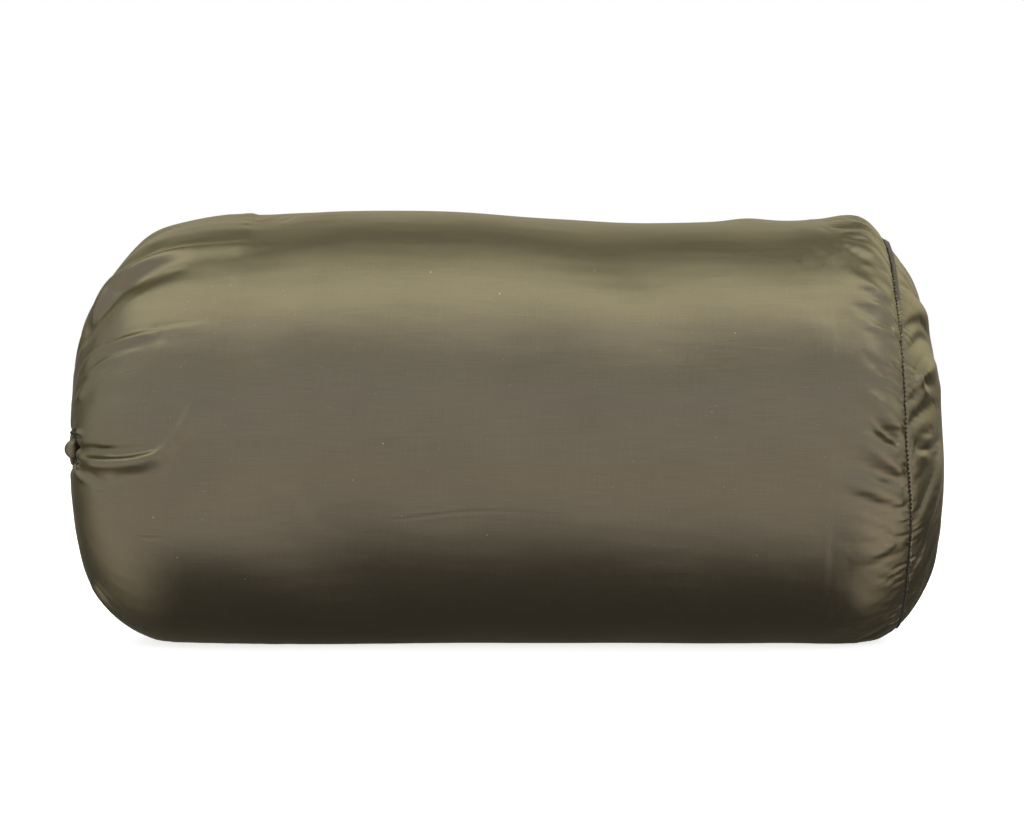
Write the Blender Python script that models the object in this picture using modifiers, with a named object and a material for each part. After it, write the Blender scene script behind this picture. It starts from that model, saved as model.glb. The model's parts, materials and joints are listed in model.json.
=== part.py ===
"""A packed bivy sack: a drawcord stuff sack lying on its side, with the rolled bivy bag inside it.

Run with: blender --background --python part.py
Metres, +Z up. The origin is the centre of the face the sack rests on. +X runs along the sack towards its
sewn round base, -X to the drawcord mouth, and -Y is the front. Angles round the sack ("turn") start at the
front and go up over the top: 0 front, 90 top, 180 back, 270 underneath.
"""

import math

import bmesh
import bpy
from mathutils import Matrix, Vector

MM = 0.001

# ---- driving dimensions ----
GAP = 0.3 * MM                    # clearance between neighbouring pieces
CLOTH = 1.0 * MM                  # thickness that stands in for a folded or hemmed sheet

SACK_RADIUS = 108.5 * MM
AXIS_HEIGHT = 105.5 * MM          # lower than the radius, so the underside is pressed flat
MOUTH_END = -215.5 * MM           # flat of the mouth end
MOUTH_DEPTH = 72.5 * MM           # how far back the rounded mouth end reaches, at the sides
MOUTH_LEAN = 16.5 * MM            # further back by this over the top, and less by this underneath
MOUTH_POWERS = (2.07, 3.4)        # squareness of that rounding, along and across the sack
MOUTH_SHIFT = Vector((0.0, -30.0 * MM, -9.5 * MM))  # the gathered mouth sits off the axis
THROAT_RADIUS = 8.5 * MM
THROAT_X = -212.8 * MM
VALLEY_DEPTH = 15.0 * MM          # a deep fold behind the mouth, where the cord lock lies
VALLEY_HALF = 24.0 * MM
SHOULDER_START = 160.0 * MM       # where the tube starts to turn in to the base seam
SEAM_X = 189.0 * MM
SEAM_RADIUS = 96.5 * MM
BASE_BULGE = 26.0 * MM            # how far the round base swells past its seam
RING_POINTS = 32

CORD_RADIUS = 1.3 * MM
CORD_SPACING = 3.0 * MM           # centre to centre of the doubled cord
CASING_RADIUS = 3.0 * MM
CASING_X = -217.0 * MM
LOCK_X = -209.4 * MM
LOCK_Y = -7.0 * MM                # the cord lock is pushed up to the gathered mouth
STRAIGHT_END = 26.0 * MM          # the cord runs straight this far, so the lock can slide
FOLD_RIM = 58.0 * MM              # where the cord meets the cloth again
TAIL_Y = 82.0 * MM                # where the doubled cord turns down behind the sack
TAIL_DROP = 10.0 * MM             # from that turn to the top of the free tail
TAIL_LENGTH = 68.0 * MM

ROLL_HEIGHT = 95.8 * MM           # the roll lies on the bottom of the sack
ROLL_CORE = 17.0 * MM
ROLL_PITCH = 16.0 * MM
ROLL_TURNS = 5.0
ROLL_STEPS = 16                   # flat steps in one turn
ROLL_LEFT = -157.0 * MM
ROLL_RIGHT = 172.0 * MM
TOP_OFFSET = 3.6 * MM             # half the spacing of the folded top sheet
FLOOR_OFFSET = 1.2 * MM           # half the spacing of the folded floor, inside it

ZIP_LENGTH = 300.0 * MM
ZIP_PITCH = 5.0 * MM
ZIP_RISE = 3.0 * MM               # teeth centre above the roll's outer face
HOOD_TURN = 52.0                  # degrees of roll that the hood covers

OLIVE = (0.115, 0.100, 0.062)
DARK_OLIVE = (0.070, 0.066, 0.040)
LINING = (0.055, 0.058, 0.045)
BLACK = (0.012, 0.012, 0.012)
STEEL = (0.55, 0.55, 0.56)


# ---- tools ----
def clear_scene():
    for obj in list(bpy.data.objects):
        bpy.data.objects.remove(obj, do_unlink=True)


def collection(name):
    made = bpy.data.collections.new(name)
    bpy.context.scene.collection.children.link(made)
    return made


def material(name, colour, roughness, metallic=0.0):
    found = bpy.data.materials.get(name)
    if found:
        return found
    made = bpy.data.materials.new(name)
    made.use_nodes = True
    shader = made.node_tree.nodes["Principled BSDF"]
    shader.inputs["Base Color"].default_value = (*colour, 1.0)
    shader.inputs["Roughness"].default_value = roughness
    shader.inputs["Metallic"].default_value = metallic
    return made


def place(obj, finish, parent=None):
    """Puts an object in the part's collection with its material, and under its parent where it has one."""
    for old in list(obj.users_collection):
        old.objects.unlink(obj)
    PART.objects.link(obj)
    obj.data.materials.clear()
    obj.data.materials.append(finish)
    if parent:
        obj.parent = parent
    return obj


def mesh_object(name, finish, points, faces, parent=None):
    mesh = bpy.data.meshes.new(name)
    mesh.from_pydata([tuple(p) for p in points], [], faces)
    mesh.validate()
    return place(bpy.data.objects.new(name, mesh), finish, parent)


def sheet(name, finish, rows, thickness, closed=False, offset=0.0, parent=None):
    """A cloth surface through rows of points, given its thickness with Solidify."""
    width = len(rows[0])
    points = [p for row in rows for p in row]
    across = width if closed else width - 1
    faces = []
    for i in range(len(rows) - 1):
        for j in range(across):
            k = (j + 1) % width
            faces.append((i * width + k, i * width + j, (i + 1) * width + j, (i + 1) * width + k))
    obj = mesh_object(name, finish, points, faces, parent)
    solid = obj.modifiers.new("thickness", "SOLIDIFY")
    solid.thickness = thickness
    solid.offset = offset
    solid.use_even_offset = True
    for polygon in obj.data.polygons:
        polygon.use_smooth = True
    return obj


def wire(name, finish, paths, radius, cyclic=False, parent=None, sides=2):
    """Round cord or thread along straight-segment paths."""
    data = bpy.data.curves.new(name, "CURVE")
    data.dimensions = "3D"
    data.bevel_depth = radius
    data.bevel_resolution = sides
    data.use_fill_caps = True
    for path in paths:
        spline = data.splines.new("POLY")
        spline.points.add(len(path) - 1)
        for point, place_ in zip(spline.points, path):
            point.co = (*place_, 1.0)
        spline.use_cyclic_u = cyclic
    return place(bpy.data.objects.new(name, data), finish, parent)


def as_mesh(obj):
    """The evaluated object as a plain mesh object of the same name, with loose caps welded on."""
    bpy.context.view_layer.update()
    graph = bpy.context.evaluated_depsgraph_get()
    mesh = bpy.data.meshes.new_from_object(obj.evaluated_get(graph))
    shape = bmesh.new()
    shape.from_mesh(mesh)
    bmesh.ops.remove_doubles(shape, verts=shape.verts, dist=0.00001)
    bmesh.ops.recalc_face_normals(shape, faces=shape.faces)
    shape.to_mesh(mesh)
    shape.free()
    name, parent, basis = obj.name, obj.parent, obj.matrix_basis.copy()
    finish = obj.data.materials[0] if obj.data.materials else None
    bpy.data.objects.remove(obj)
    made = bpy.data.objects.new(name, mesh)
    place(made, finish, parent) if finish else CUTTERS.objects.link(made)
    made.parent = parent
    made.matrix_basis = basis
    return made


def primitive(name, finish, add, parent=None, **settings):
    """A Blender primitive, kept in its parent's frame where it has one."""
    add(**settings)
    obj = bpy.context.object
    obj.name = name
    place(obj, finish)
    bpy.context.view_layer.update()
    obj.data.transform(obj.matrix_basis)
    obj.matrix_basis = Matrix.Identity(4)
    if parent:
        obj.parent = parent
    return obj


def block(name, finish, low, high, parent=None):
    size = Vector(high) - Vector(low)
    middle = (Vector(high) + Vector(low)) / 2
    return primitive(
        name, finish, bpy.ops.mesh.primitive_cube_add, parent, size=1.0, location=middle, scale=size
    )


def rod(name, finish, start, end, radius, parent=None, sides=24):
    """A cylinder along X from start to end."""
    return primitive(
        name,
        finish,
        bpy.ops.mesh.primitive_cylinder_add,
        parent,
        vertices=sides,
        radius=radius,
        depth=end - start,
        location=((start + end) / 2, 0, 0),
        rotation=(0, math.pi / 2, 0),
    )


def boolean(obj, tool, operation):
    """Cuts tool from obj, or joins it on, and keeps the tool out of the part."""
    step = obj.modifiers.new(operation.lower(), "BOOLEAN")
    step.operation = operation
    step.object = tool
    for old in list(tool.users_collection):
        old.objects.unlink(tool)
    CUTTERS.objects.link(tool)
    tool.hide_render = True
    tool.display_type = "WIRE"
    return obj


def soften(obj, width):
    edge = obj.modifiers.new("rounded_edges", "BEVEL")
    edge.width = width
    edge.segments = 1
    edge.limit_method = "ANGLE"
    return obj


def empty(name, matrix):
    made = bpy.data.objects.new(name, None)
    made.empty_display_size = 0.02
    made.matrix_world = matrix
    PART.objects.link(made)
    return made


# ---- the shape of the stuff sack ----
def ease(low, high, value):
    """Rises smoothly from 0 at low to 1 at high."""
    share = min(1.0, max(0.0, (value - low) / (high - low)))
    return share * share * (3.0 - 2.0 * share)


def valley(y, z):
    """Depth of the fold that runs back from the gathered mouth."""
    along = ease(-22 * MM, -11 * MM, y) * (1.0 - ease(STRAIGHT_END, 78 * MM, y))
    across = (z - AXIS_HEIGHT - MOUTH_SHIFT.z) / VALLEY_HALF
    return VALLEY_DEPTH * along * math.exp(-(across**4))


def mouth_x(radius, turn):
    """Where along the sack the rounded mouth end has this radius, on this side of it."""
    along, across = MOUTH_POWERS
    left = max(0.0, 1.0 - (radius / SACK_RADIUS) ** across)
    depth = MOUTH_DEPTH + MOUTH_LEAN * math.sin(turn)
    centre = ring_centre(radius)
    y = centre.y - radius * math.cos(turn)
    z = centre.z + radius * math.sin(turn)
    return MOUTH_END + depth * (1.0 - left ** (1.0 / along)) + valley(y, z)


def shoulder_radius(x):
    share = (x - SHOULDER_START) / (SEAM_X - SHOULDER_START)
    return SACK_RADIUS - (SACK_RADIUS - SEAM_RADIUS) * max(0.0, share) ** 2.2


def ring_centre(radius):
    """The rings slide off the axis as they close up towards the gathered mouth."""
    return Vector((0, 0, AXIS_HEIGHT)) + MOUTH_SHIFT * (1.0 - (radius / SACK_RADIUS) ** 2)


def sack_ring(x_of_turn, radius, centre):
    """One ring of the sack, pressed flat where it meets the ground."""
    ring = []
    for i in range(RING_POINTS):
        turn = 2 * math.pi * i / RING_POINTS
        y = centre.y - radius * math.cos(turn)
        z = centre.z + radius * math.sin(turn)
        ring.append(Vector((x_of_turn(turn), y, max(0.0, z))))
    return ring


def mouth_face_x(y, z):
    """X of the mouth end's outer face over a point, found by halving the range of radii."""
    low, high = 0.0, SACK_RADIUS
    for _ in range(40):
        radius = (low + high) / 2
        centre = ring_centre(radius)
        if math.hypot(y - centre.y, z - centre.z) > radius:
            low = radius
        else:
            high = radius
    return mouth_x(radius, math.atan2(z - centre.z, centre.y - y))


def over_mouth_end(y, z, lift):
    """A point that stands off the mouth end by lift, along its outward direction."""
    step = 0.5 * MM
    x = mouth_face_x(y, z)
    slope_y = (mouth_face_x(y + step, z) - mouth_face_x(y - step, z)) / (2 * step)
    slope_z = (mouth_face_x(y, z + step) - mouth_face_x(y, z - step)) / (2 * step)
    return Vector((x, y, z)) + Vector((-1.0, slope_y, slope_z)).normalized() * lift


# ---- the stuff sack ----
def build_sack():
    cloth = material("sack_cloth", OLIVE, 0.42)
    thread = material("dark_thread", BLACK, 0.7)

    rows = []
    neck = Vector((0, 0, AXIS_HEIGHT)) + MOUTH_SHIFT
    rows.append(sack_ring(lambda turn: THROAT_X, THROAT_RADIUS, neck))
    for share in (0.14, 0.2, 0.27, 0.35, 0.44, 0.54, 0.64, 0.74, 0.82, 0.89, 0.94, 0.98, 1.0):
        radius = SACK_RADIUS * share
        rows.append(sack_ring(lambda turn, r=radius: mouth_x(r, turn), radius, ring_centre(radius)))
    axis = Vector((0, 0, AXIS_HEIGHT))
    for x in (-75 * MM, 0.0, 80 * MM, SHOULDER_START):
        rows.append(sack_ring(lambda turn, x=x: x, SACK_RADIUS, axis))
    for share in (0.35, 0.6, 0.8, 1.0):
        x = SHOULDER_START + (SEAM_X - SHOULDER_START) * share
        rows.append(sack_ring(lambda turn, x=x: x, shoulder_radius(x), axis))
    sheet("sack_tube", cloth, rows, CLOTH, closed=True, offset=-1.0)

    build_base(cloth, thread)
    build_side_seam(cloth, thread)


def turned(name, finish, profile, parent=None, close=False):
    """A profile of (x, radius) points turned round the sack's axis."""
    points = [(x, 0, radius) for x, radius in profile]
    edges = [(i, i + 1) for i in range(len(points) - 1)]
    if close:
        edges.append((len(points) - 1, 0))
    mesh = bpy.data.meshes.new(name)
    mesh.from_pydata(points, edges, [])
    obj = place(bpy.data.objects.new(name, mesh), finish, parent)
    obj.location = (0, 0, AXIS_HEIGHT)
    screw = obj.modifiers.new("turned", "SCREW")
    screw.axis = "X"
    screw.steps = screw.render_steps = RING_POINTS
    screw.use_merge_vertices = True
    screw.merge_threshold = 0.00001
    screw.use_smooth_shade = True
    return obj


def build_base(cloth, thread):
    start = SEAM_X + 3 * GAP
    profile = []
    for share in (0.0, 0.2, 0.4, 0.6, 0.75, 0.88, 0.96, 1.0):
        radius = SEAM_RADIUS * share
        profile.append((start + BASE_BULGE * (1.0 - share ** 2.6), radius))
    base = turned("sack_base", cloth, profile)
    solid = base.modifiers.new("thickness", "SOLIDIFY")
    solid.thickness = CLOTH
    solid.offset = -1.0

    inner, outer = SEAM_RADIUS - 10 * MM, SEAM_RADIUS - 3 * MM
    low, high = SEAM_X - 5 * MM, SEAM_X - 1 * MM
    corners = [(low, inner), (high, inner), (high, outer), (low, outer)]
    turned("base_seam_binding", material("binding_tape", DARK_OLIVE, 0.8), corners, close=True)

    ring_x = SEAM_X - 2.2 * MM
    lift = shoulder_radius(ring_x) + 1.0 * MM
    primitive(
        "base_seam_stitching",
        thread,
        bpy.ops.mesh.primitive_torus_add,
        major_radius=lift,
        minor_radius=0.4 * MM,
        major_segments=48,
        minor_segments=5,
        location=(ring_x, 0, AXIS_HEIGHT),
        rotation=(0, math.pi / 2, 0),
    )


def build_side_seam(cloth, thread):
    """The lengthwise seam lies on one flat of the tube, low on the back."""
    turn = 2 * math.pi * 17.5 / RING_POINTS
    flat = SACK_RADIUS * math.cos(math.pi / RING_POINTS)
    frame = Matrix.Translation((0, 0, AXIS_HEIGHT)) @ Matrix.Rotation(-turn, 4, "X")
    seam = empty("side_seam_place", frame)
    low, high = -140 * MM, 155 * MM
    height = 0.6 * MM
    block(
        "side_seam_fell",
        cloth,
        (low, -flat - GAP - height, -4.5 * MM),
        (high, -flat - GAP, 4.5 * MM),
        seam,
    )
    row = flat + GAP + height + GAP + 0.3 * MM
    for name, z in (("side_seam_thread_upper", 3.0 * MM), ("side_seam_thread_lower", -3.0 * MM)):
        wire(name, thread, [[(low, -row, z), (high, -row, z)]], 0.3 * MM, parent=seam, sides=1)


# ---- the drawcord mouth ----
def build_mouth():
    cloth = material("sack_cloth", OLIVE, 0.42)
    thread = material("dark_thread", BLACK, 0.7)
    centre = Vector((CASING_X, MOUTH_SHIFT.y, AXIS_HEIGHT + MOUTH_SHIFT.z))

    def ring_point(turn, radius, x):
        return centre + Vector((x, radius * math.cos(turn), radius * math.sin(turn)))

    # The casing is a hem folded over the cord. It is open towards the sack, and its ends leave a way out
    # for the cord on the side of the back seam.
    rows = []
    steps = 36
    way_out = math.radians(38)
    for i in range(steps + 1):
        turn = way_out + (2 * math.pi - 2 * way_out) * i / steps
        pleat = 0.5 * MM * math.sin(8 * turn)
        row = []
        for j in range(7):
            fold = math.radians(48 + 264 * j / 6)
            across = THROAT_RADIUS + pleat + CASING_RADIUS * math.sin(fold)
            row.append(ring_point(turn, across, CASING_RADIUS * math.cos(fold)))
        rows.append(row)
    sheet("mouth_casing", cloth, rows, 0.7 * MM)

    stitch = []
    for i in range(25):
        turn = way_out + (2 * math.pi - 2 * way_out) * i / 24
        stitch.append(ring_point(turn, THROAT_RADIUS + CASING_RADIUS + 1.6 * MM, 1.2 * MM))
    wire("casing_stitching", thread, [stitch], 0.3 * MM, sides=1)
    build_drawcord(centre, ring_point)


def build_drawcord(centre, ring_point):
    cord = material("olive_cord", DARK_OLIVE, 0.75)
    half = CORD_SPACING / 2
    lift = 2.8 * MM
    turn_down = over_mouth_end(TAIL_Y, centre.z, lift)
    slope = over_mouth_end(TAIL_Y + 1 * MM, centre.z, lift) - turn_down
    along = Vector((slope.x, slope.y, 0)).normalized()
    top = turn_down + Vector((0, 0, -TAIL_DROP))

    def strand(side):
        """From the ring in the casing, through the lock, back over the mouth end, to the turn down."""
        z = centre.z + side * half
        path = [
            Vector((CASING_X + 3.0 * MM, centre.y + 11.5 * MM, z + side * 1.4 * MM)),
            Vector((LOCK_X, LOCK_Y - 7.5 * MM, z)),
            Vector((LOCK_X, STRAIGHT_END, z)),
        ]
        for i in range(4):
            y = FOLD_RIM + (TAIL_Y - 6 * MM - FOLD_RIM) * i / 3
            path.append(over_mouth_end(y, z, lift))
        bend = turn_down + along * side * half
        path.append(bend + Vector((0, 0, side * 0.3 * half)) - along * 2.5 * MM)
        path.append(bend + Vector((0, 0, -3.5 * MM)))
        path.append(bend + Vector((0, 0, 2.0 * MM - TAIL_DROP)))
        return path

    ring = []
    for i in range(25):
        turn = math.radians(28) + (2 * math.pi - math.radians(56)) * i / 24
        ring.append(ring_point(turn, THROAT_RADIUS, 0.0))
    path = list(reversed(strand(1))) + ring + strand(-1)
    wire("drawcord", cord, [path], CORD_RADIUS, sides=1)

    # The lock's cords run back along +Y, and its button points up.
    upright = Matrix(((0, 0, 1), (1, 0, 0), (0, 1, 0))).transposed().to_4x4()
    lock_place = empty("cord_lock_place", Matrix.Translation((LOCK_X, LOCK_Y, centre.z)) @ upright)
    build_lock("cord_lock", lock_place)

    outward = along.cross(Vector((0, 0, 1))).normalized()
    basis = Matrix((along, outward, (0, 0, 1))).transposed().to_4x4()
    pivot = empty("cord_tail_pivot", Matrix.Translation(top) @ basis)
    build_tail(cord, pivot, half)
    print("cord tail pivot", [round(c, 6) for c in top], "swing axis", [round(c, 6) for c in outward])


def build_tail(cord, pivot, half):
    """Both ends of the cord hang free below the turn and end in one knot. Made round the tail's pivot."""
    low = -TAIL_LENGTH
    path = [(-half, 0, 0), (-half, 0, low + 4 * MM)]
    for i in range(1, 6):
        turn = math.pi * i / 6
        path.append((-half * math.cos(turn), 0, low + 4 * MM - half * math.sin(turn)))
    path += [(half, 0, low + 4 * MM), (half, 0, 0)]
    tail = as_mesh(wire("drawcord_tail", cord, [path], CORD_RADIUS, parent=pivot, sides=1))
    for i, (lift, tilt) in enumerate(((4.6, 20), (7.0, -18))):
        turn = primitive(
            f"knot_turn_{i}",
            cord,
            bpy.ops.mesh.primitive_torus_add,
            pivot,
            major_radius=2.7 * MM,
            minor_radius=1.25 * MM,
            major_segments=14,
            minor_segments=7,
            location=(0, 0, low + lift * MM),
            rotation=(math.radians(tilt), math.radians(tilt / 2), 0),
        )
        boolean(tail, turn, "UNION")


def build_lock(name, frame):
    """A barrel cord lock made round its cords, which run along its frame's Z. Its button moves along X."""
    plastic = material("black_plastic", BLACK, 0.45)
    steel = material("spring_steel", STEEL, 0.3, 1.0)
    travel = 3.0 * MM
    slot = CORD_SPACING / 2 + CORD_RADIUS + GAP
    width = CORD_RADIUS + 0.4 * MM
    foot = -slot - 1.8 * MM
    floor = foot - 5.5 * MM
    rim = slot + travel + 0.4 * MM
    bore = 5.2 * MM
    tall = 9.0 * MM

    barrel = rod(f"{name}_barrel", plastic, floor - 1.5 * MM, rim, 7.0 * MM, frame)
    soften(barrel, 0.8 * MM)
    boolean(barrel, rod(f"{name}_bore", None, floor, rim + 3 * MM, bore, frame), "DIFFERENCE")
    window = block(f"{name}_window", None, (-slot, -width, -tall), (slot, width, tall), frame)
    boolean(barrel, window, "DIFFERENCE")

    head = rim + travel + GAP
    plunger = rod(f"{name}_plunger", plastic, head, head + 3.5 * MM, 6.3 * MM, frame)
    soften(plunger, 1.0 * MM)
    stem = rod(f"{name}_stem", None, foot, head + 1 * MM, bore - GAP, frame)
    boolean(plunger, stem, "UNION")
    eye = block(f"{name}_eye", None, (-slot, -width, -tall), (slot + travel, width, tall), frame)
    boolean(plunger, eye, "DIFFERENCE")

    coil = []
    turns, steps = 3.5, 10
    rest = foot - floor - 2 * 0.65 * MM
    for i in range(int(turns * steps) + 1):
        turn = 2 * math.pi * i / steps
        x = floor + 0.65 * MM + rest * i / (turns * steps)
        coil.append((x, 3.6 * MM * math.cos(turn), 3.6 * MM * math.sin(turn)))
    wire(f"{name}_spring", steel, [coil], 0.35 * MM, parent=frame, sides=1)


# ---- the rolled bivy bag ----
def roll_point(turn_share, offset, x):
    """A point in the roll. turn_share counts turns from the core, and offset is out from the folded middle."""
    turn = 2 * math.pi * (turn_share - ROLL_TURNS) + math.pi / 2
    radius = ROLL_CORE + ROLL_PITCH * turn_share + offset
    return Vector((x, -radius * math.cos(turn), ROLL_HEIGHT + radius * math.sin(turn)))


def folded_rows(start, end, offset, right):
    """A sheet folded in half lengthwise, its fold at the right, rolled up from start to end turns."""
    count = max(4, round((end - start) * ROLL_STEPS))
    rows = []
    for i in range(count + 1):
        share = start + (end - start) * i / count
        row = [roll_point(share, offset, ROLL_LEFT)]
        for j in range(3):
            fold = math.pi / 2 - math.pi * j / 2
            row.append(roll_point(share, offset * math.sin(fold), right + offset * math.cos(fold)))
        row.append(roll_point(share, -offset, ROLL_LEFT))
        rows.append(row)
    return rows


def build_roll():
    shell = material("bivy_laminate", DARK_OLIVE, 0.6)
    coated = material("coated_floor", LINING, 0.5)
    zip_gap = 14 * MM / (2 * math.pi * (ROLL_CORE + ROLL_PITCH * ROLL_TURNS))
    end = ROLL_TURNS - zip_gap
    hood_start = ROLL_TURNS + zip_gap
    hood_end = hood_start + HOOD_TURN / 360

    sheet("bivy_top", shell, folded_rows(0, end, TOP_OFFSET, ROLL_RIGHT), CLOTH)
    inner_fold = ROLL_RIGHT - 1.0 * MM
    sheet("bivy_floor", coated, folded_rows(0, end, FLOOR_OFFSET, inner_fold), CLOTH)
    sheet("bivy_hood", shell, folded_rows(hood_start, hood_end, TOP_OFFSET, ROLL_RIGHT), CLOTH)

    net = material("insect_net", BLACK, 0.8)
    net_rows = []
    for i in range(5):
        share = hood_start + (hood_end - hood_start) * i / 4
        net_rows.append([roll_point(share, 0, ROLL_LEFT), roll_point(share, 0, ROLL_RIGHT - 6 * MM)])
    sheet("insect_net", net, net_rows, 0.5 * MM)

    build_zip()
    build_hood_cord(hood_end)
    build_peg_loops(hood_end)


def build_zip():
    """The hood zip lies along the top of the roll. Its two rows of teeth are held apart, and the slider runs between."""
    tape = material("zip_tape", DARK_OLIVE, 0.85)
    nylon = material("zip_nylon", BLACK, 0.35)
    metal = material("zip_metal", STEEL, 0.35, 1.0)
    surface = roll_point(ROLL_TURNS, TOP_OFFSET + CLOTH / 2, 0).z
    frame = empty("zip_place", Matrix.Translation((0, 0, surface + ZIP_RISE)))
    half = ZIP_LENGTH / 2

    for side, label in ((-1, "body"), (1, "hood")):
        ends = sorted((side * 3.3 * MM, side * 17 * MM))
        block(
            f"zip_tape_{label}",
            tape,
            (-half, ends[0], -0.3 * MM),
            (half, ends[1], 0.3 * MM),
            frame,
        )
        zip_teeth(f"zip_teeth_{label}", nylon, side, half, frame)

    for label, x in (("open_end", -half - 2.3 * MM), ("closed_end", half + 2.3 * MM)):
        block(
            f"zip_stop_{label}",
            metal,
            (x - 2 * MM, -3 * MM, -1.2 * MM),
            (x + 2 * MM, 3 * MM, 1.2 * MM),
            frame,
        )

    slider_place = empty("zip_slider_place", Matrix.Translation((half - 7 * MM, 0, 0)))
    slider_place.parent = frame
    slider = block(
        "zip_slider", metal, (-5.5 * MM, -4.5 * MM, 1.2 * MM), (5.5 * MM, 4.5 * MM, 2.2 * MM), slider_place
    )
    under = block(
        "slider_under", None, (-5.5 * MM, -4.5 * MM, -2.2 * MM), (5.5 * MM, 4.5 * MM, -1.2 * MM), slider_place
    )
    bridge = block(
        "slider_bridge", None, (-4 * MM, -0.6 * MM, -1.8 * MM), (0, 0.6 * MM, 1.8 * MM), slider_place
    )
    post = block("slider_post", None, (-2.4 * MM, -1.2 * MM, 1.8 * MM), (-0.8 * MM, 1.2 * MM, 5 * MM), slider_place)
    for piece in (under, bridge, post):
        boolean(slider, piece, "UNION")
    build_pull(metal, slider_place)


def zip_teeth(name, finish, side, half, frame):
    """One row of teeth: an outline with a tooth every pitch, given its thickness."""
    back, root, tip = side * 3.0 * MM, side * 2.0 * MM, side * 0.9 * MM
    outline = [(-half, back)]
    for i in range(int(2 * half / ZIP_PITCH)):
        x = -half + i * ZIP_PITCH
        for shift, y in ((0.6, root), (1.2, tip), (3.2, tip), (3.8, root)):
            outline.append((x + shift * MM, y))
    outline.append((half, back))
    data = bpy.data.curves.new(name, "CURVE")
    data.dimensions = "2D"
    data.fill_mode = "BOTH"
    data.extrude = 0.7 * MM
    spline = data.splines.new("POLY")
    spline.points.add(len(outline) - 1)
    for point, (x, y) in zip(spline.points, outline):
        point.co = (x, y, 0, 1)
    spline.use_cyclic_u = True
    return place(bpy.data.objects.new(name, data), finish, frame)


def build_pull(metal, slider_place):
    """The pull tab turns on the slider's post and lies back along the zip."""
    hinge = empty("zip_pull_hinge", Matrix.Translation((-1.6 * MM, 0, 3.9 * MM)))
    hinge.parent = slider_place
    pull = block("zip_pull", metal, (-21 * MM, -3 * MM, -0.5 * MM), (2.6 * MM, 3 * MM, 0.5 * MM), hinge)
    window = block("pull_window", None, (-3 * MM, -1.5 * MM, -2 * MM), (1.3 * MM, 1.5 * MM, 2 * MM), hinge)
    boolean(pull, window, "DIFFERENCE")


def build_hood_cord(hood_end):
    """The hood's edge cord runs in a hem along the roll, and its doubled end hangs over the end of the roll."""
    cord = material("olive_cord", DARK_OLIVE, 0.75)
    hem_cloth = material("bivy_laminate", DARK_OLIVE, 0.6)
    hem_share = hood_end + 6.0 * MM / (2 * math.pi * (ROLL_CORE + ROLL_PITCH * ROLL_TURNS))
    middle = roll_point(hem_share, 0, 0)
    outward = Vector((0, middle.y, middle.z - ROLL_HEIGHT)).normalized()
    half = CORD_SPACING / 2
    across = outward.cross(Vector((1, 0, 0))).normalized()

    rows = []
    for x in (ROLL_LEFT, 0.0, ROLL_RIGHT - 8 * MM):
        row = []
        for j in range(10):
            fold = math.radians(25 + 310 * j / 9)
            spot = across * math.cos(fold) * 4.2 * MM + outward * math.sin(fold) * 3.2 * MM
            row.append(Vector((x, middle.y, middle.z)) + spot)
        rows.append(row)
    sheet("hood_hem", hem_cloth, rows, 0.7 * MM)

    # The lock's frame: cords along its Z, towards the middle of the roll's end.
    end_x = ROLL_LEFT - 12 * MM
    inward = -outward
    side = Vector((1, 0, 0)).cross(inward).normalized()
    basis = Matrix((side, inward.cross(side), inward)).transposed().to_4x4()
    corner = Vector((end_x, middle.y, middle.z))
    lock_place = empty("hood_lock_place", Matrix.Translation(corner + inward * 30 * MM) @ basis)

    paths = []
    for sign in (1, -1):
        start = Vector((ROLL_RIGHT - 12 * MM, middle.y, middle.z)) + side * sign * half
        bend = Vector((end_x + 5 * MM, middle.y, middle.z)) + side * sign * half
        down = corner + inward * 5 * MM + side * sign * half
        last = corner + inward * 50 * MM + side * sign * half
        paths.append((start, bend, down, last))
    loop_far = [paths[0][3], paths[0][3] + inward * 1.5 * MM, paths[1][3] + inward * 1.5 * MM, paths[1][3]]
    path = list(paths[0][:3]) + loop_far + list(reversed(paths[1][:3]))
    wire("hood_drawcord", cord, [path], CORD_RADIUS - 0.1 * MM, sides=1)
    build_lock("hood_lock", lock_place)
    print("hood lock", [round(c, 6) for c in lock_place.matrix_world.translation])
    print("hood slide", [round(c, 6) for c in inward], "press", [round(c, 6) for c in side])


def build_peg_loops(hood_end):
    """Webbing loops at the corners of the bivy stand out of the open end of the roll."""
    webbing = material("webbing", BLACK, 0.8)
    end = ROLL_TURNS - 0.06
    corners = (("foot_left", 0.03, 0.6), ("foot_right", 0.03, -0.6), ("head_left", end, 0.6), ("head_right", end, -0.6))
    for name, share, side in corners:
        rows = []
        for k in (0.0, 1.0):
            turn = share + k * 10 * MM / (2 * math.pi * (ROLL_CORE + ROLL_PITCH * share))
            base = side * (TOP_OFFSET + FLOOR_OFFSET) / 1.2
            row = []
            for x, spread in ((-0.6, 0.85), (-9, 0.85), (-11.5, 0.3), (-11.5, -0.3), (-9, -0.85), (-0.6, -0.85)):
                row.append(roll_point(turn, base + spread * MM, ROLL_LEFT + x * MM - GAP))
            rows.append(row)
        sheet(f"peg_loop_{name}", webbing, rows, 0.5 * MM)


clear_scene()
PART = collection("packed_bivy_sack")
CUTTERS = collection("cutters")
build_sack()
build_mouth()
build_roll()
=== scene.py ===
"""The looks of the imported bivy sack: a stuffed taffeta stuff sack with a sewn round base and a gathered drawcord mouth.

The cloth is one grid of rows (from the mouth, along the sack, to the middle of the base) and columns (round it).
Folds are drawn into it, a cloth simulation lets them settle, and seams, puckers and stitches are added on top.
Lengths are in millimetres until an object is made. "Turn" is the angle round the sack: 0 front, 90 top, 180 back.
"""

import json
import math

import bmesh
import bpy
import numpy as np
from mathutils import Matrix, Vector
from mathutils.bvhtree import BVHTree

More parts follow.
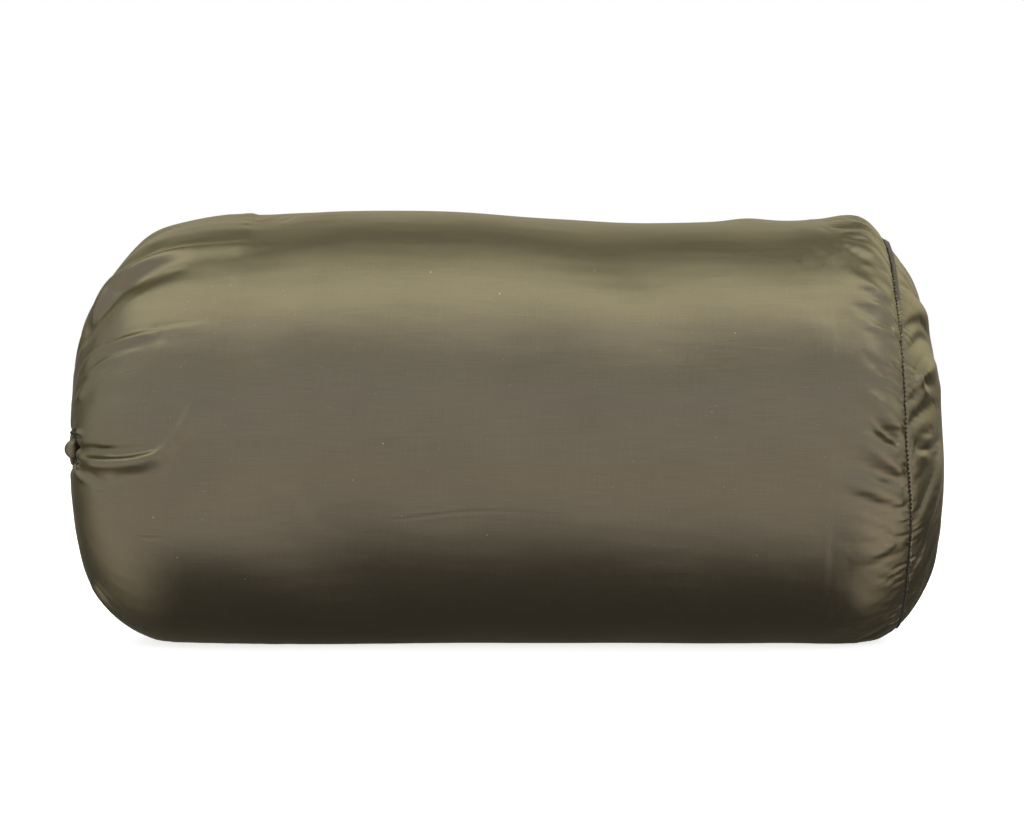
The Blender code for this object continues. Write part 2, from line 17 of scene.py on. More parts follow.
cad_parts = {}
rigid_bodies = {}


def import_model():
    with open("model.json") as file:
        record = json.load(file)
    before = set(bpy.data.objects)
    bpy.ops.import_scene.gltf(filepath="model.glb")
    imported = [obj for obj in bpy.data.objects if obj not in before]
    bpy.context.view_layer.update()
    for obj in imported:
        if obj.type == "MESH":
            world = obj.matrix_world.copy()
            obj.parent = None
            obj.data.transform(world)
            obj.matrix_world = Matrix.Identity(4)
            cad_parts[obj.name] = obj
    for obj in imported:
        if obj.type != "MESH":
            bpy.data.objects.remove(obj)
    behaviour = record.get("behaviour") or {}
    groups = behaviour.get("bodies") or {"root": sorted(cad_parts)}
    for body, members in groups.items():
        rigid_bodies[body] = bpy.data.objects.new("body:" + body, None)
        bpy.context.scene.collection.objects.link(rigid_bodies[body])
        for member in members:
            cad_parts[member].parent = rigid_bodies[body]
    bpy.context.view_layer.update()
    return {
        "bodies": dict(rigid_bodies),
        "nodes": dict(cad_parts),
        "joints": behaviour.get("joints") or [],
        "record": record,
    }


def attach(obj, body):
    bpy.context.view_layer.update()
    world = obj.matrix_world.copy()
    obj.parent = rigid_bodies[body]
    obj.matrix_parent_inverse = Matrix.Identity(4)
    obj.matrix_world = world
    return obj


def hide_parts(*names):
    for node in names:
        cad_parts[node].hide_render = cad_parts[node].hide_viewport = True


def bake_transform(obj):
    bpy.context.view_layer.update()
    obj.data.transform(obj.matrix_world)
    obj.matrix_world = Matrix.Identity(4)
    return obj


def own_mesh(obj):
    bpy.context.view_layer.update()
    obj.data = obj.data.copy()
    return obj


# ---- sizes, in millimetres ----
PER_METRE = 1000
CIRCLE = 2 * math.pi
RADIUS = 108.5
AXIS = 105.5                      # height of the sack's axis
MOUTH_END = -211.2
MOUTH_DEPTH = 68.0
MOUTH_LEAN = 16.5                 # how much deeper the mouth end is at its top
TUBE_START = MOUTH_END + MOUTH_DEPTH
MOUTH_SHIFT = np.array([0.0, -30.0, -9.5])   # from the axis to the mouth's middle
THROAT = 8.5                      # radius at which the cloth goes under the hem
SHOULDER = 154.0                  # where the tube starts to round over to the base
SEAM_X = 189.3
SEAM_TILT = 3.9                   # the sewn base leans: further out underneath
SEAM_RADIUS = 96.5
SEAM_DROP = 3.1
BULGE = 22.5                      # how far the base stands out past its seam
COLUMNS = 208                     # of the simulated cloth
ROW_STEP = 3.4
PITCH = 2.2                       # stitch length
CORD_RADIUS = 1.3

TURN = CIRCLE * np.arange(COLUMNS) / COLUMNS
UP = np.array([0.0, 0.0, 1.0])


# ---- small tools ----
def ease(low, high, value):
    t = np.clip((np.asarray(value, float) - low) / (high - low), 0, 1)
    return t * t * (3 - 2 * t)


def bump(value, centre, width):
    return np.exp(-(((value - centre) / width) ** 2))


def leaning(turn, from_seam):
    """The turn, leaning down towards the base seam over the front and top."""
    return turn + 0.0048 * (0.55 + 0.45 * np.sin(turn + 0.2)) * from_seam


def turned_by(angle, degrees):
    """Signed angle from a turn given in degrees, in radians."""
    return (angle - math.radians(degrees) + np.pi) % CIRCLE - np.pi


def slanting(rng, k, turn, along, length):
    """One wave, k times round the sack, with a random slant and phase."""
    return np.sin(k * turn + rng.uniform(-1, 1) * 2 * np.pi * along / length + rng.uniform(0, 6.283))


def waves(seed, turn, along, around, length):
    """Smooth noise round and along the sack: around is the number of waves round it, length theirs along it."""
    rng = np.random.default_rng(seed)
    total = np.zeros(np.broadcast(turn, along).shape)
    count = 14
    for _ in range(count):
        k = round(rng.uniform(0.35, 1.0) * around)
        total = total + slanting(rng, k, turn, along, length)
    return total / math.sqrt(count / 2)


def gathers(seed, turn, along, count, length, sharp=1.7):
    """Irregular pleats, about count of them round the sack, each a narrow crest; from 0 to about 1."""
    rng = np.random.default_rng(seed)
    phase = count * turn
    for _ in range(5):
        k = int(rng.integers(1, 7))
        phase = phase + rng.uniform(0.5, 1.5) * slanting(rng, k, turn, along, length)
    size = 0.55 + 0.45 * np.sin(round(count * 0.37) * turn + 1.3 * np.sin(3 * turn + seed) + along / length * 3)
    return size * (0.5 + 0.5 * np.cos(phase)) ** sharp


def creases(seed, turn, along, count, length, sharp):
    """Irregular narrow valleys between rounded puffs, about count of them round the sack; from about -1 to 0.4."""
    return 0.35 - 1.35 * gathers(seed, turn, along, count, length, sharp)


def unit(v):
    return v / np.maximum(np.linalg.norm(v, axis=-1, keepdims=True), 1e-12)


def distances(points):
    """How far along a path each of its points is; for a grid, how far each row is, averaged over its columns."""
    steps = np.linalg.norm(np.diff(points, axis=0), axis=-1)
    return np.concatenate([[0], np.cumsum(steps if steps.ndim == 1 else steps.mean(1))])


def place_at(at, lengths, points):
    """Points at given distances along a path."""
    return np.stack([np.interp(at, lengths, points[:, k]) for k in range(3)], 1)


def grid_normals(grid):
    """Outward normals of a grid whose columns close on themselves."""
    along = np.gradient(grid, axis=0)
    around = (np.roll(grid, -1, axis=1) - np.roll(grid, 1, axis=1)) / 2
    return unit(np.cross(along, around))


def grid_faces(rows, columns, reverse=False):
    """The faces of such a grid."""
    faces = []
    for i in range(rows - 1):
        a, b = i * columns, (i + 1) * columns
        for j in range(columns):
            k = (j + 1) % columns
            faces.append((a + j, a + k, b + k, b + j) if reverse else (a + k, a + j, b + j, b + k))
    return faces


def tube_faces(rows, around):
    """The faces of a thin tube, closed at both ends."""
    ends = [tuple(reversed(range(around))), tuple(range((rows - 1) * around, rows * around))]
    return grid_faces(rows, around, reverse=True) + ends


def tip_faces(rows, columns):
    """Faces that close a grid's last row on one more point."""
    last, tip = (rows - 1) * columns, rows * columns
    return [(last + (j + 1) % columns, last + j, tip) for j in range(columns)]


# ---- the cloth's shape before folds ----
def bulk(x, share=1.0):
    """How the stuffing swells and dents the tube."""
    top = np.clip(np.sin(TURN), 0, 1)
    d = -5.2 * bump(x, 58, 52) * top**1.5
    for size, centre, width in (
        (0.9, -50, 50), (-1.6, 165, 30), (-3.0, 0, math.inf), (-2.6, -140, 24),
        (-1.4, 128, 28), (1.6, 26, 26), (1.5, 170, 14), (0.8, -73, 28),
    ):
        d = d + size * bump(x, centre, width) * top
    # Long low ridges that wander a little: size, turn, how far and how fast they wander, and width.
    for size, degrees, sway, rate, start, width in (
        (1.2, 29, 5, 0.012, 1, 0.19), (1.1, -25, 5, 0.011, 0, 0.19), (2.6, -42, 0, 0, 0, 0.40),
        (1.1, 118, 8, 0.012, 0, 0.24), (1.2, 190, 8, 0.009, 2, 0.24),
    ):
        d = d + size * bump(turned_by(TURN, degrees + sway * math.sin(x * rate + start)), 0, width)
    # The zip's pull lifts the cloth a little over it.
    d = d + 1.8 * bump(x, 119, 14) * bump(turned_by(TURN, 90), 0, 0.14)
    for along, around, phase, size in (
        (18, 2, 0.3, 0.7), (31, 3, 1.7, 0.5), (47, 4, 4.1, 0.4),
        (24, 5, 2.6, 0.35), (65, 3, 5.2, 0.3), (80, 6, 0.9, 0.2),
    ):
        d = d + size * np.sin(along * x / PER_METRE + around * TURN + phase)
    return d * share


def valley(y, z):
    """The deep fold behind the gathered mouth, where the cord lock lies, and the short notch in front of it."""
    z = z - AXIS - MOUTH_SHIFT[2]
    behind = ease(-22, -11, y) * (1 - ease(26, 78, y)) * np.exp(-((z / 25) ** 4))
    notch = (1 - ease(-45, -40, y)) * ease(-92, -58, y) * np.exp(-(((z - 0.5) / 8.5) ** 4))
    return 17.5 * behind + 7.5 * notch


def mouth_curve(share):
    """How much of the mouth end's depth is reached at a share of the sack's radius."""
    return 1 - np.maximum(0.0, 1 - share**3.4) ** (1 / 2.07)


def mouth_row(share):
    top = np.clip(np.sin(TURN), 0, 1)
    r = share * RADIUS + bulk(-143.0, share**4) + 5.0 * bump(share, 0.885, 0.08) * top**1.5
    depth = MOUTH_DEPTH + MOUTH_LEAN * np.sin(TURN)
    centre = np.array([0, 0, AXIS]) + MOUTH_SHIFT * (1 - share**2)
    y = centre[1] - r * np.cos(TURN)
    z = centre[2] + r * np.sin(TURN)
    x = MOUTH_END + depth * mouth_curve(share) + valley(y, z)
    return np.stack([x, y, z], 1)


def tube_row(x, radius, drop=0.0, tilt=0.0, lumps=1.0):
    r = radius + bulk(x, lumps)
    sway = 0.9 * bump(turned_by(TURN, -22), 0, 0.25) - 0.7 * bump(turned_by(TURN, 3), 0, 0.22)
    x = x - tilt * (np.sin(TURN) - sway / SEAM_TILT) * r / SEAM_RADIUS
    return np.stack([x, -r * np.cos(TURN), AXIS - drop + r * np.sin(TURN)], 1)


def even_steps(points, step, closer=1.0):
    """Places along a fine profile, as positions in it, that are step apart; closer above 1 packs them at its start."""
    lengths = distances(points)
    count = max(2, round(lengths[-1] / step))
    return np.interp(np.linspace(0, 1, count + 1) ** closer * lengths[-1], lengths, np.arange(len(points)))


def cloth_rows():
    """Every row of the cloth, the part each belongs to with how far through it the row is, and the seam's row.

    The parts are 0 the mouth end, 1 the tube, 2 the tube's rounded shoulder at the base and 3 the base.
    """
    rows, part = [], []
    shares = np.linspace(THROAT / RADIUS, 1, 3000)
    profile = np.stack([MOUTH_END + MOUTH_DEPTH * mouth_curve(shares), shares * RADIUS], 1)
    for i in even_steps(profile, ROW_STEP * 0.85):
        share = float(np.interp(i, np.arange(len(shares)), shares))
        rows.append(mouth_row(share))
        part.append((0, share))

    x = TUBE_START
    stations = []
    while x < SHOULDER:
        middle = ease(-125, -70, x) * (1 - ease(70, 120, x))
        x += ROW_STEP * 0.85 * (1 + 1.3 * middle)
        stations.append(x)
    stretch = (SHOULDER - TUBE_START) / (stations[-1] - TUBE_START)
    for x in stations:
        x = TUBE_START + (x - TUBE_START) * stretch
        share = (x - TUBE_START) / (SHOULDER - TUBE_START)
        row = tube_row(x, RADIUS)
        row[:, 0] += MOUTH_LEAN * np.sin(TURN) * (1 - share) ** 1.5
        rows.append(row)
        part.append((1, share))

    profile_x = np.linspace(SHOULDER, SEAM_X, 400)
    profile_r = RADIUS - (RADIUS - SEAM_RADIUS) * ((profile_x - SHOULDER) / (SEAM_X - SHOULDER)) ** 3.0
    for i in even_steps(np.stack([profile_x, profile_r], 1), ROW_STEP * 0.68)[1:]:
        x, r = (np.interp(i, np.arange(len(values)), values) for values in (profile_x, profile_r))
        share = (x - SHOULDER) / (SEAM_X - SHOULDER)
        r = r + 2.8 * bump(x, 178, 8) * np.clip(np.sin(TURN), 0, 1)
        rows.append(tube_row(x, r, SEAM_DROP * share, SEAM_TILT * share, 1 - ease(0, 1, share)))
        part.append((2, share))
    seam = len(rows) - 1

    shares = np.linspace(1, 0.03, 400)
    profile_x = SEAM_X + BULGE * (1 - shares**3.5)
    boxy = 4.0 - 0.3 * np.sin(TURN)
    for i in even_steps(np.stack([profile_x, shares * SEAM_RADIUS], 1), ROW_STEP, 1.35)[1:]:
        share = float(np.interp(i, np.arange(len(shares)), shares))
        row = tube_row(SEAM_X, share * SEAM_RADIUS, SEAM_DROP, SEAM_TILT, 0)
        row[:, 0] += BULGE * (1 - share**boxy)
        rows.append(row)
        part.append((3, 1 - share))
    grid = np.array(rows)
    grid[:, :, 2] = np.maximum(grid[:, :, 2], 0.0)
    return grid, np.array(part), seam


# ---- folds ----
def path_fold(grid, points, height, half, lean=0.0, fan=False):
    """A single fold over a path of (x, z) points as seen from the front.

    It is strongest in its first half. A fan is soft and wide at its start and strong and narrow at its end.
    """
    x, z = grid[..., 0], grid[..., 2]
    best = np.full(x.shape, 1e9)
    side = np.zeros(x.shape)
    through = np.zeros(x.shape)
    points, total = smooth_path([(a, b, 0.0) for a, b in points], 28)
    done = 0.0
    for (ax, az, _), (bx, bz, _) in zip(points, points[1:]):
        length = math.hypot(bx - ax, bz - az)
        dx, dz = (bx - ax) / length, (bz - az) / length
        t = np.clip((x - ax) * dx + (z - az) * dz, 0, length)
        px, pz = x - ax - t * dx, z - az - t * dz
        distance = np.hypot(px, pz)
        nearer = distance < best
        best = np.where(nearer, distance, best)
        side = np.where(nearer, np.sign(dx * pz - dz * px), side)
        through = np.where(nearer, np.clip((done + t) / total, 0, 1), through)
        done += length
    if fan:
        width = half * (1.7 - 1.0 * through)
        taper = ease(0.0, 0.75, through) * (1 - ease(0.94, 1.0, through))
    else:
        width = half * (0.75 + 0.5 * through)
        taper = ease(0.0, 0.16, through) * (1 - 0.65 * ease(0.3, 0.75, through)) * (1 - ease(0.72, 1.0, through))
    width = width * (1 + lean * side)
    shape = np.exp(-((best / width) ** 2)) - 0.35 * np.exp(-(((best - 1.9 * width) / width) ** 2))
    return height * shape * taper * ease(0.0, 25.0, -grid[..., 1])


# Folds of the mouth that show at the front: path of (x, z), height, half width, and how much steeper its left side is.
MOUTH_FOLDS = (
    (
        [(-207, 93.5), (-197, 92.3), (-184, 92.3), (-172, 93.8), (-163, 97), (-156, 104), (-150, 114), (-144, 128)],
        3.6, 3.9, -0.42,
    ),
    ([(-208, 98.5), (-196, 97.8), (-184, 98.0), (-168, 99.5)], -1.6, 2.6, 0.0),
    (
        [(-203, 150), (-199, 163), (-190.5, 177), (-180, 184.5), (-167, 190.5), (-150, 194), (-110, 196)],
        3.4, 2.8, -0.35,
    ),
    ([(-205, 143), (-200, 157), (-191, 168), (-180, 176), (-165, 182), (-140, 186)], -3.0, 4.0, 0.0),
    ([(-205, 133), (-199, 141), (-189, 147), (-169, 153), (-136, 158)], 1.3, 2.2, -0.4),
    ([(-204, 129), (-196, 136.5), (-187, 141.5), (-168, 146)], 0.9, 1.9, -0.4),
    ([(-206, 120), (-200, 129), (-190, 135)], 1.2, 2.2, -0.3),
    ([(-207, 88), (-203, 84), (-198, 82)], 1.3, 1.7, 0.0),
)


def large_folds(grid, part):
    """Displacement, in millimetres along the normal, of the folds that the simulation then settles."""
    kind, share = part[:, 0][:, None], part[:, 1][:, None]
    turn = np.broadcast_to(TURN[None], grid.shape[:2])
    x = grid[..., 0]
    reach = np.where(kind == 0, share * RADIUS, RADIUS + np.where(kind == 1, share, 1) * (SHOULDER - TUBE_START))
    d = np.zeros(grid.shape[:2])

    # Radial folds that run out of the gathered mouth. The lower front is the most tightly stretched.
    front = 1 - ease(1.35, 1.75, np.abs(turned_by(turn, -5)))
    calm = 1 - 0.6 * front - 0.3 * bump(turned_by(turn, -40), 0, 0.8)
    warp = turn + 0.10 * waves(11, turn, reach, 3, 160)
    near = ease(10, 26, reach)
    d += calm * near * 1.5 * (1 - ease(34, 60, reach)) * (gathers(1, warp, reach, 34, 90) - 0.3)
    d += calm * near * 2.6 * bump(reach, 62, 30) * (gathers(2, warp, reach, 21, 120) - 0.3)
    d += calm * 2.7 * bump(reach, 104, 36) * (gathers(3, warp, reach, 15, 150) - 0.28)
    d += (1 - 0.85 * front) * 0.9 * bump(reach, 120, 45) * waves(5, turn, reach, 22, 70)

    # Gathers on the sack's side of the base seam.
    to_seam = SEAM_X - x - SEAM_TILT * np.sin(turn)
    lean = leaning(turn, x - SEAM_X)
    on_tube = (kind == 1) | (kind == 2)
    free = on_tube * (0.2 + 0.8 * ease(0, 4, np.abs(to_seam)))
    few = (0.6 + 0.4 * waves(21, turn, x, 7, 200) / 1.5) * (1 - 0.45 * bump(turned_by(turn, -42), 0, 0.5))
    d += free * 1.8 * few * bump(to_seam, 17, 13) * creases(6, lean, x, 33, 70, 1.6)
    d += free * 1.2 * few * bump(to_seam, 8, 8) * creases(7, lean, x, 66, 40, 1.8)
    d += on_tube * 0.5 * bump(to_seam, 34, 18) * waves(8, lean, x, 22, 60)

    # Puckers and soft creases on the base.
    on_base = kind == 3
    rim = np.where(on_base, share * SEAM_RADIUS, 0)
    back_lean = turn - 0.010 * rim
    d += on_base * 1.0 * bump(rim, 9, 9) * creases(9, back_lean, rim, 44, 50, 1.6)
    d += on_base * 1.1 * bump(rim, 26, 20) * waves(10, back_lean, rim, 15, 50)
    y, z = grid[..., 1], grid[..., 2] - AXIS
    pool = np.sin(0.045 * y + 0.03 * z + 1.0) * np.sin(0.02 * y - 0.05 * z + 2.0) + 0.5 * np.sin(0.08 * y - 0.02 * z)
    d += on_base * 1.0 * ease(15, 60, rim) * pool

    # The body is nearly smooth.
    d += ease(RADIUS, RADIUS + 40, reach) * 0.10 * waves(12, turn, x, 14, 160)

    # Single folds that show at the front: first those of the mouth, then those of the base seam.
    for path, height, half, lean_of in MOUTH_FOLDS:
        d += 0.6 * path_fold(grid, path, height, half * 1.15, lean_of)
    for path, height, half in (
        ([(150, 136), (162, 122), (174, 110), (188, 96)], -0.9, 3.0),
        ([(158, 140), (170, 126), (181, 113), (190, 103)], 1.5, 3.8),
        ([(152, 118), (163, 107), (176, 96), (189, 86)], 1.3, 3.6),
        ([(142, 95), (158, 91), (174, 86), (189, 80)], -1.0, 3.0),
        ([(150, 84), (164, 81), (178, 76), (189, 72)], 1.4, 3.4),
        ([(154, 68), (168, 62), (182, 58)], -0.6, 2.8),
        ([(152, 44), (168, 46), (184, 52)], 0.9, 3.0),
        ([(150, 186), (166, 179), (184, 168)], 1.4, 3.0),
        ([(150, 174), (164, 167), (184, 154)], -1.3, 2.8),
        ([(206, 142), (201, 136), (193, 130)], 1.6, 2.4),
        ([(204, 118), (199, 124), (192, 132)], 1.8, 2.2),
        ([(206, 98), (200, 98), (192, 99)], -1.6, 1.8),
    ):
        d += ease(0.5, 6, np.abs(to_seam)) * path_fold(grid, path, height, half, 0.2, fan=True)

    return d * ease(THROAT, THROAT + 6, np.where(kind == 0, share * RADIUS, 99))


# ---- the simulation ----
def settle(grid, part, seam):
    """Lets the folded cloth settle under a light pressure, held softly by the stuffing, firmly at seam and mouth."""
    scale = 10.0 / PER_METRE      # ten times life size, at which the solver is steadier
    rows, columns = grid.shape[:2]
    kind, share = part[:, 0], part[:, 1]
    start = grid.reshape(-1, 3) * scale

    # How much longer the cloth is round each row than the form it lies on.
    by_part = (0.16 * ease(0, 0.9, 1 - share), 0.004, 0.06 * share, 0.018 * (1 - share) + 0.01)
    more = np.choose(kind.astype(int), by_part)
    centre = grid.mean(1, keepdims=True)[..., 1:]
    slack = grid.copy()
    slack[..., 1:] = centre + (grid[..., 1:] - centre) * (1 + more)[:, None, None]

    last, tip = (rows - 1) * columns, rows * columns
    points = np.vstack([start, start[last:].mean(0)])
    rest = np.vstack([slack.reshape(-1, 3) * scale, start[last:].mean(0)])
    mesh = bpy.data.meshes.new("settling")
    mesh.from_pydata(points.tolist(), [], grid_faces(rows, columns) + tip_faces(rows, columns))
    cloth = add_object("settling", mesh)
    cloth.shape_key_add(name="Basis")
    key = cloth.shape_key_add(name="slack")
    key.data.foreach_set("co", rest.astype(np.float32).ravel())

    soft = np.full(rows, 0.0016)
    tube = kind == 1
    soft[tube] += 0.02 * ease(0.05, 0.28, share[tube]) * (1 - ease(0.80, 0.98, share[tube]))
    held = cloth.vertex_groups.new(name="held")
    for i in range(rows):
        weight = 1.0 if i in (0, 1, seam) else float(soft[i])
        held.add(list(range(i * columns, (i + 1) * columns)), weight, "REPLACE")
    held.add([tip], 0.002, "REPLACE")

    step = cloth.modifiers.new("cloth", "CLOTH")
    for name, value in {
        "quality": 4, "mass": 0.02,
        "tension_stiffness": 15, "compression_stiffness": 25, "shear_stiffness": 5, "bending_stiffness": 0.02,
        "tension_damping": 0.5, "compression_damping": 0.5, "shear_damping": 0.5, "bending_damping": 0.1,
        "vertex_group_mass": "held", "pin_stiffness": 1.0, "rest_shape_key": key,
        "use_pressure": True, "uniform_pressure_force": 0.22,
    }.items():
        setattr(step.settings, name, value)
    step.settings.effector_weights.gravity = 0
    step.collision_settings.use_collision = False
    frames = 11
    scene = bpy.context.scene
    scene.frame_start = step.point_cache.frame_start = 1
    scene.frame_end = step.point_cache.frame_end = frames
    for frame in range(1, frames + 1):
        scene.frame_set(frame)
    settled = cloth.evaluated_get(bpy.context.evaluated_depsgraph_get()).data
    result = np.zeros(len(points) * 3, np.float32)
    settled.vertices.foreach_get("co", result)
    scene.frame_set(1)
    bpy.data.objects.remove(cloth)
    bpy.data.meshes.remove(mesh)
    result = result.reshape(-1, 3)[:tip].reshape(rows, columns, 3) / scale
    return result.astype(float)


# ---- finer cloth ----
def cubic(p0, p1, p2, p3, t):
    """A curve through p1 and p2 at t between them."""
    return 0.5 * (2 * p1 + (p2 - p0) * t + (2 * p0 - 5 * p1 + 4 * p2 - p3) * t**2 + (3 * p1 - p0 - 3 * p2 + p3) * t**3)


def finer(values, counts, around):
    """A finer grid through the same points: counts[i] rows for the i-th interval, around columns for each."""
    rows = values.shape[0]
    position = np.concatenate([i + np.arange(n) / n for i, n in enumerate(counts)] + [[rows - 1]])
    i = np.minimum(position.astype(int), rows - 2)
    t = (position - i)[:, None, None]
    before, after = np.maximum(i - 1, 0), np.minimum(i + 2, rows - 1)
    values = cubic(values[before], values[i], values[i + 1], values[after], t)
    steps = [
        cubic(np.roll(values, 1, 1), values, np.roll(values, -1, 1), np.roll(values, -2, 1), step / around)
        for step in range(around)
    ]
    return np.stack(steps, 2).reshape(values.shape[0], -1, 3)


def small_folds(grid, turn, seam):
    """Puckers along the base seam, pleats at the mouth and faint creases, finer than the simulated cloth."""
    x = grid[..., 0]
    row = np.arange(grid.shape[0])[:, None]
    length = distances(grid)[:, None]
    from_seam = length - length[seam]
    tube, base = row <= seam, row > seam
    d = np.zeros(grid.shape[:2])
    lean = leaning(turn, from_seam)
    few = 0.62 + 0.38 * waves(31, turn, x, 9, 200) / 1.4
    reach = 1 + 0.5 * waves(40, turn, 0 * x, 30, 100) / 1.4
    d += tube * 0.80 * few * bump(from_seam / reach, -3.4, 4.0) * creases(32, lean, x, 112, 30, 1.7)
    d += tube * 0.42 * bump(from_seam / reach, -1.6, 2.4) * creases(33, lean, x, 176, 20, 1.2)
    d += base * 0.50 * few * bump(from_seam / reach, 3.2, 4.5) * creases(34, turn, x, 104, 30, 1.6)
    d += base * 0.30 * bump(from_seam / reach, 1.5, 2.2) * creases(35, turn, x, 168, 20, 1.2)
    # The seam itself lies in a shallow groove, with the sack's cloth rolling over it.
    d -= 0.5 * bump(from_seam, 0.1, 0.8) + 0.5 * bump(from_seam, 0, 4)
    # The edge of the seam allowance shows faintly through the cloth.
    d += tube * 0.22 * bump(x, 151.5 + 1.2 * np.sin(3 * turn), 1.0) * (0.6 + 0.4 * waves(36, turn, x, 9, 300) / 2)
    # Fine pleats close to the mouth.
    d += 0.5 * bump(length, 7, 9) * (gathers(37, turn, length, 58, 30, 1.2) - 0.3)
    # Fine lengthwise and slanting creases.
    d += 0.015 * waves(38, turn, x, 70, 40) * tube * ease(25, 70, length)
    for path, height, half, lean_of in MOUTH_FOLDS:
        d += path_fold(grid, path, 0.5 * height, 0.75 * half, lean_of)
    for path, depth, half in (
        ([(-60, 64), (-14, 69), (24, 67)], 0.20, 0.7),
        ([(-196, 75.3), (-190, 75.8), (-187, 74.2), (-180, 72)], 0.55, 0.7),
        ([(-176, 56.6), (-169, 56), (-161, 56.3)], 0.35, 0.6),
        ([(-187, 64), (-184, 63.6), (-180, 64)], 0.3, 0.5),
        ([(-202, 33), (-194, 22.5), (-186, 13)], 1.8, 1.5),
        ([(120, 112), (133, 111), (146, 112)], 0.18, 0.6),
        ([(-206.5, 107), (-205.5, 103), (-202, 101)], 5.0, 1.7),
        ([(-207, 88.6), (-205.5, 91.5), (-202.5, 93)], 4.2, 1.5),
    ):
        d -= path_fold(grid, path, depth, half)
    return d


# ---- objects ----
def add_object(name, mesh, material=None):
    made = bpy.data.objects.new(name, mesh)
    bpy.context.scene.collection.objects.link(made)
    if material:
        mesh.materials.append(material)
    return made


def plain_mesh(name, points, faces, material, smooth=True):
    """A mesh from points in millimetres."""
    mesh = bpy.data.meshes.new(name)
    mesh.from_pydata((np.asarray(points) / PER_METRE).tolist(), [], faces)
    if smooth:
        mesh.shade_smooth()
    return add_object(name, mesh, material)


def lay_flat(piece, places):
    """Gives each point its place on the flat cloth, in millimetres, for the weave to follow."""
    layer = piece.data.attributes.new("cloth_mm", "FLOAT_VECTOR", "POINT")
    layer.data.foreach_set("vector", np.asarray(places, np.float32).ravel())


def hand_over(piece, body, node=None):
    """Parents a piece to the body it rides and hides the CAD node it stands in for."""
    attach(piece, body)
    if node:
        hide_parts(node)


def cloth_object(name, grid, along, cap=False):
    """A grid as cloth. Its flat places run along and round the tube or, where it has a cap, across the base."""
    rows, columns = grid.shape[:2]
    faces = grid_faces(rows, columns)
    points = grid.reshape(-1, 3)
    if cap:
        faces += tip_faces(rows, columns)
        points = np.vstack([points, grid[-1].mean(0)])
        place = np.stack([grid[..., 2], grid[..., 1], 0 * grid[..., 0]], 2).reshape(-1, 3)
        place = np.vstack([place, place[-1]])
    else:
        lengthwise, around = np.broadcast_arrays(along[:, None], fine_turn[None] * RADIUS)
        place = np.stack([lengthwise, around, 0 * around], 2)
    made = plain_mesh(name, points, faces, CLOTH)
    lay_flat(made, place)
    return made


def smooth_path(points, count):
    """count points at even distances on a smooth curve through the given ones, and the curve's length."""
    p = np.asarray(points, float)
    p = np.vstack([2 * p[0] - p[1], p, 2 * p[-1] - p[-2]])
    fine = []
    for i in range(1, len(p) - 2):
        for t in np.linspace(0, 1, 24, endpoint=False):
            fine.append(cubic(p[i - 1], p[i], p[i + 1], p[i + 2], t))
    fine = np.array(fine + [p[-2]])
    lengths = distances(fine)
    return place_at(np.linspace(0, lengths[-1], count), lengths, fine), lengths[-1]


def frames_along(path):
    """Two directions across a path that don't twist along it."""
    forward = unit(np.gradient(path, axis=0))
    side = np.cross(forward[0], UP)
    if np.linalg.norm(side) < 0.1:
        side = np.cross(forward[0], np.array([1.0, 0, 0]))
    sides = [unit(side)]
    for f in forward[1:]:
        sides.append(unit(sides[-1] - f * (sides[-1] @ f)))
    sides = np.array(sides)
    return sides, np.cross(forward, sides)


def cord_mesh(name, points, radius):
    """A braided cord: strands stand out of its surface in two crossing spirals."""
    step, around = 0.45, 20
    _, total = smooth_path(points, 10)
    path, total = smooth_path(points, max(8, int(total / step)))
    side, up = frames_along(path)
    s = np.linspace(0, total, len(path))[:, None]
    a = (CIRCLE * np.arange(around) / around)[None]
    braid = 0.10 * np.sin(4 * a + s * 2.1) * np.sin(4 * a - s * 2.1) * 2
    end = np.sqrt(np.clip(1 - (1 - np.clip(np.minimum(s, total - s) / radius, 0, 1)) ** 2, 0.02, 1))
    r = (radius + 0.09 * (braid - 0.1)) * end
    skin = path[:, None] + side[:, None] * (np.cos(a) * r)[..., None] + up[:, None] * (np.sin(a) * r)[..., None]
    made = plain_mesh(name, skin.reshape(-1, 3), tube_faces(len(path), around), CORD)
    along, across = np.broadcast_arrays(s, a * radius)
    lay_flat(made, np.stack([along, across, 0 * across], 2))
    return made


def stitches(name, places, forwards, ups, length, radius, slant=0.12):
    """Single thread stitches: each a short rounded bar that dips into the cloth at both ends."""
    stations = np.linspace(-1, 1, 7)
    around = 6
    one = tube_faces(len(stations), around)
    points, faces = [], []
    for place, forward, up in zip(places, forwards, ups):
        across = np.cross(forward, up)
        faces += [tuple(len(points) + corner for corner in face) for face in one]
        for t in stations:
            centre = place + forward * (t * length / 2) + across * (slant * t * radius * 2)
            centre = centre + up * (radius * (0.9 - 1.9 * t**4))
            thick = radius * math.sqrt(max(0.05, 1 - (abs(t) ** 3) * 0.8))
            for j in range(around):
                a = CIRCLE * j / around
                points.append(centre + across * (thick * math.cos(a)) + up * (thick * math.sin(a)))
    return plain_mesh(name, points, faces, THREAD)


def along_line(line, pitch):
    """Places one pitch apart along a line of points, with the direction at each and how far through the line it is."""
    lengths = distances(line)
    count = int(lengths[-1] / pitch)
    at = (np.arange(count) + 0.5) * lengths[-1] / count
    places = place_at(at, lengths, line)
    return places, unit(place_at(at + 0.4, lengths, line) - places + 1e-9), at / lengths[-1]


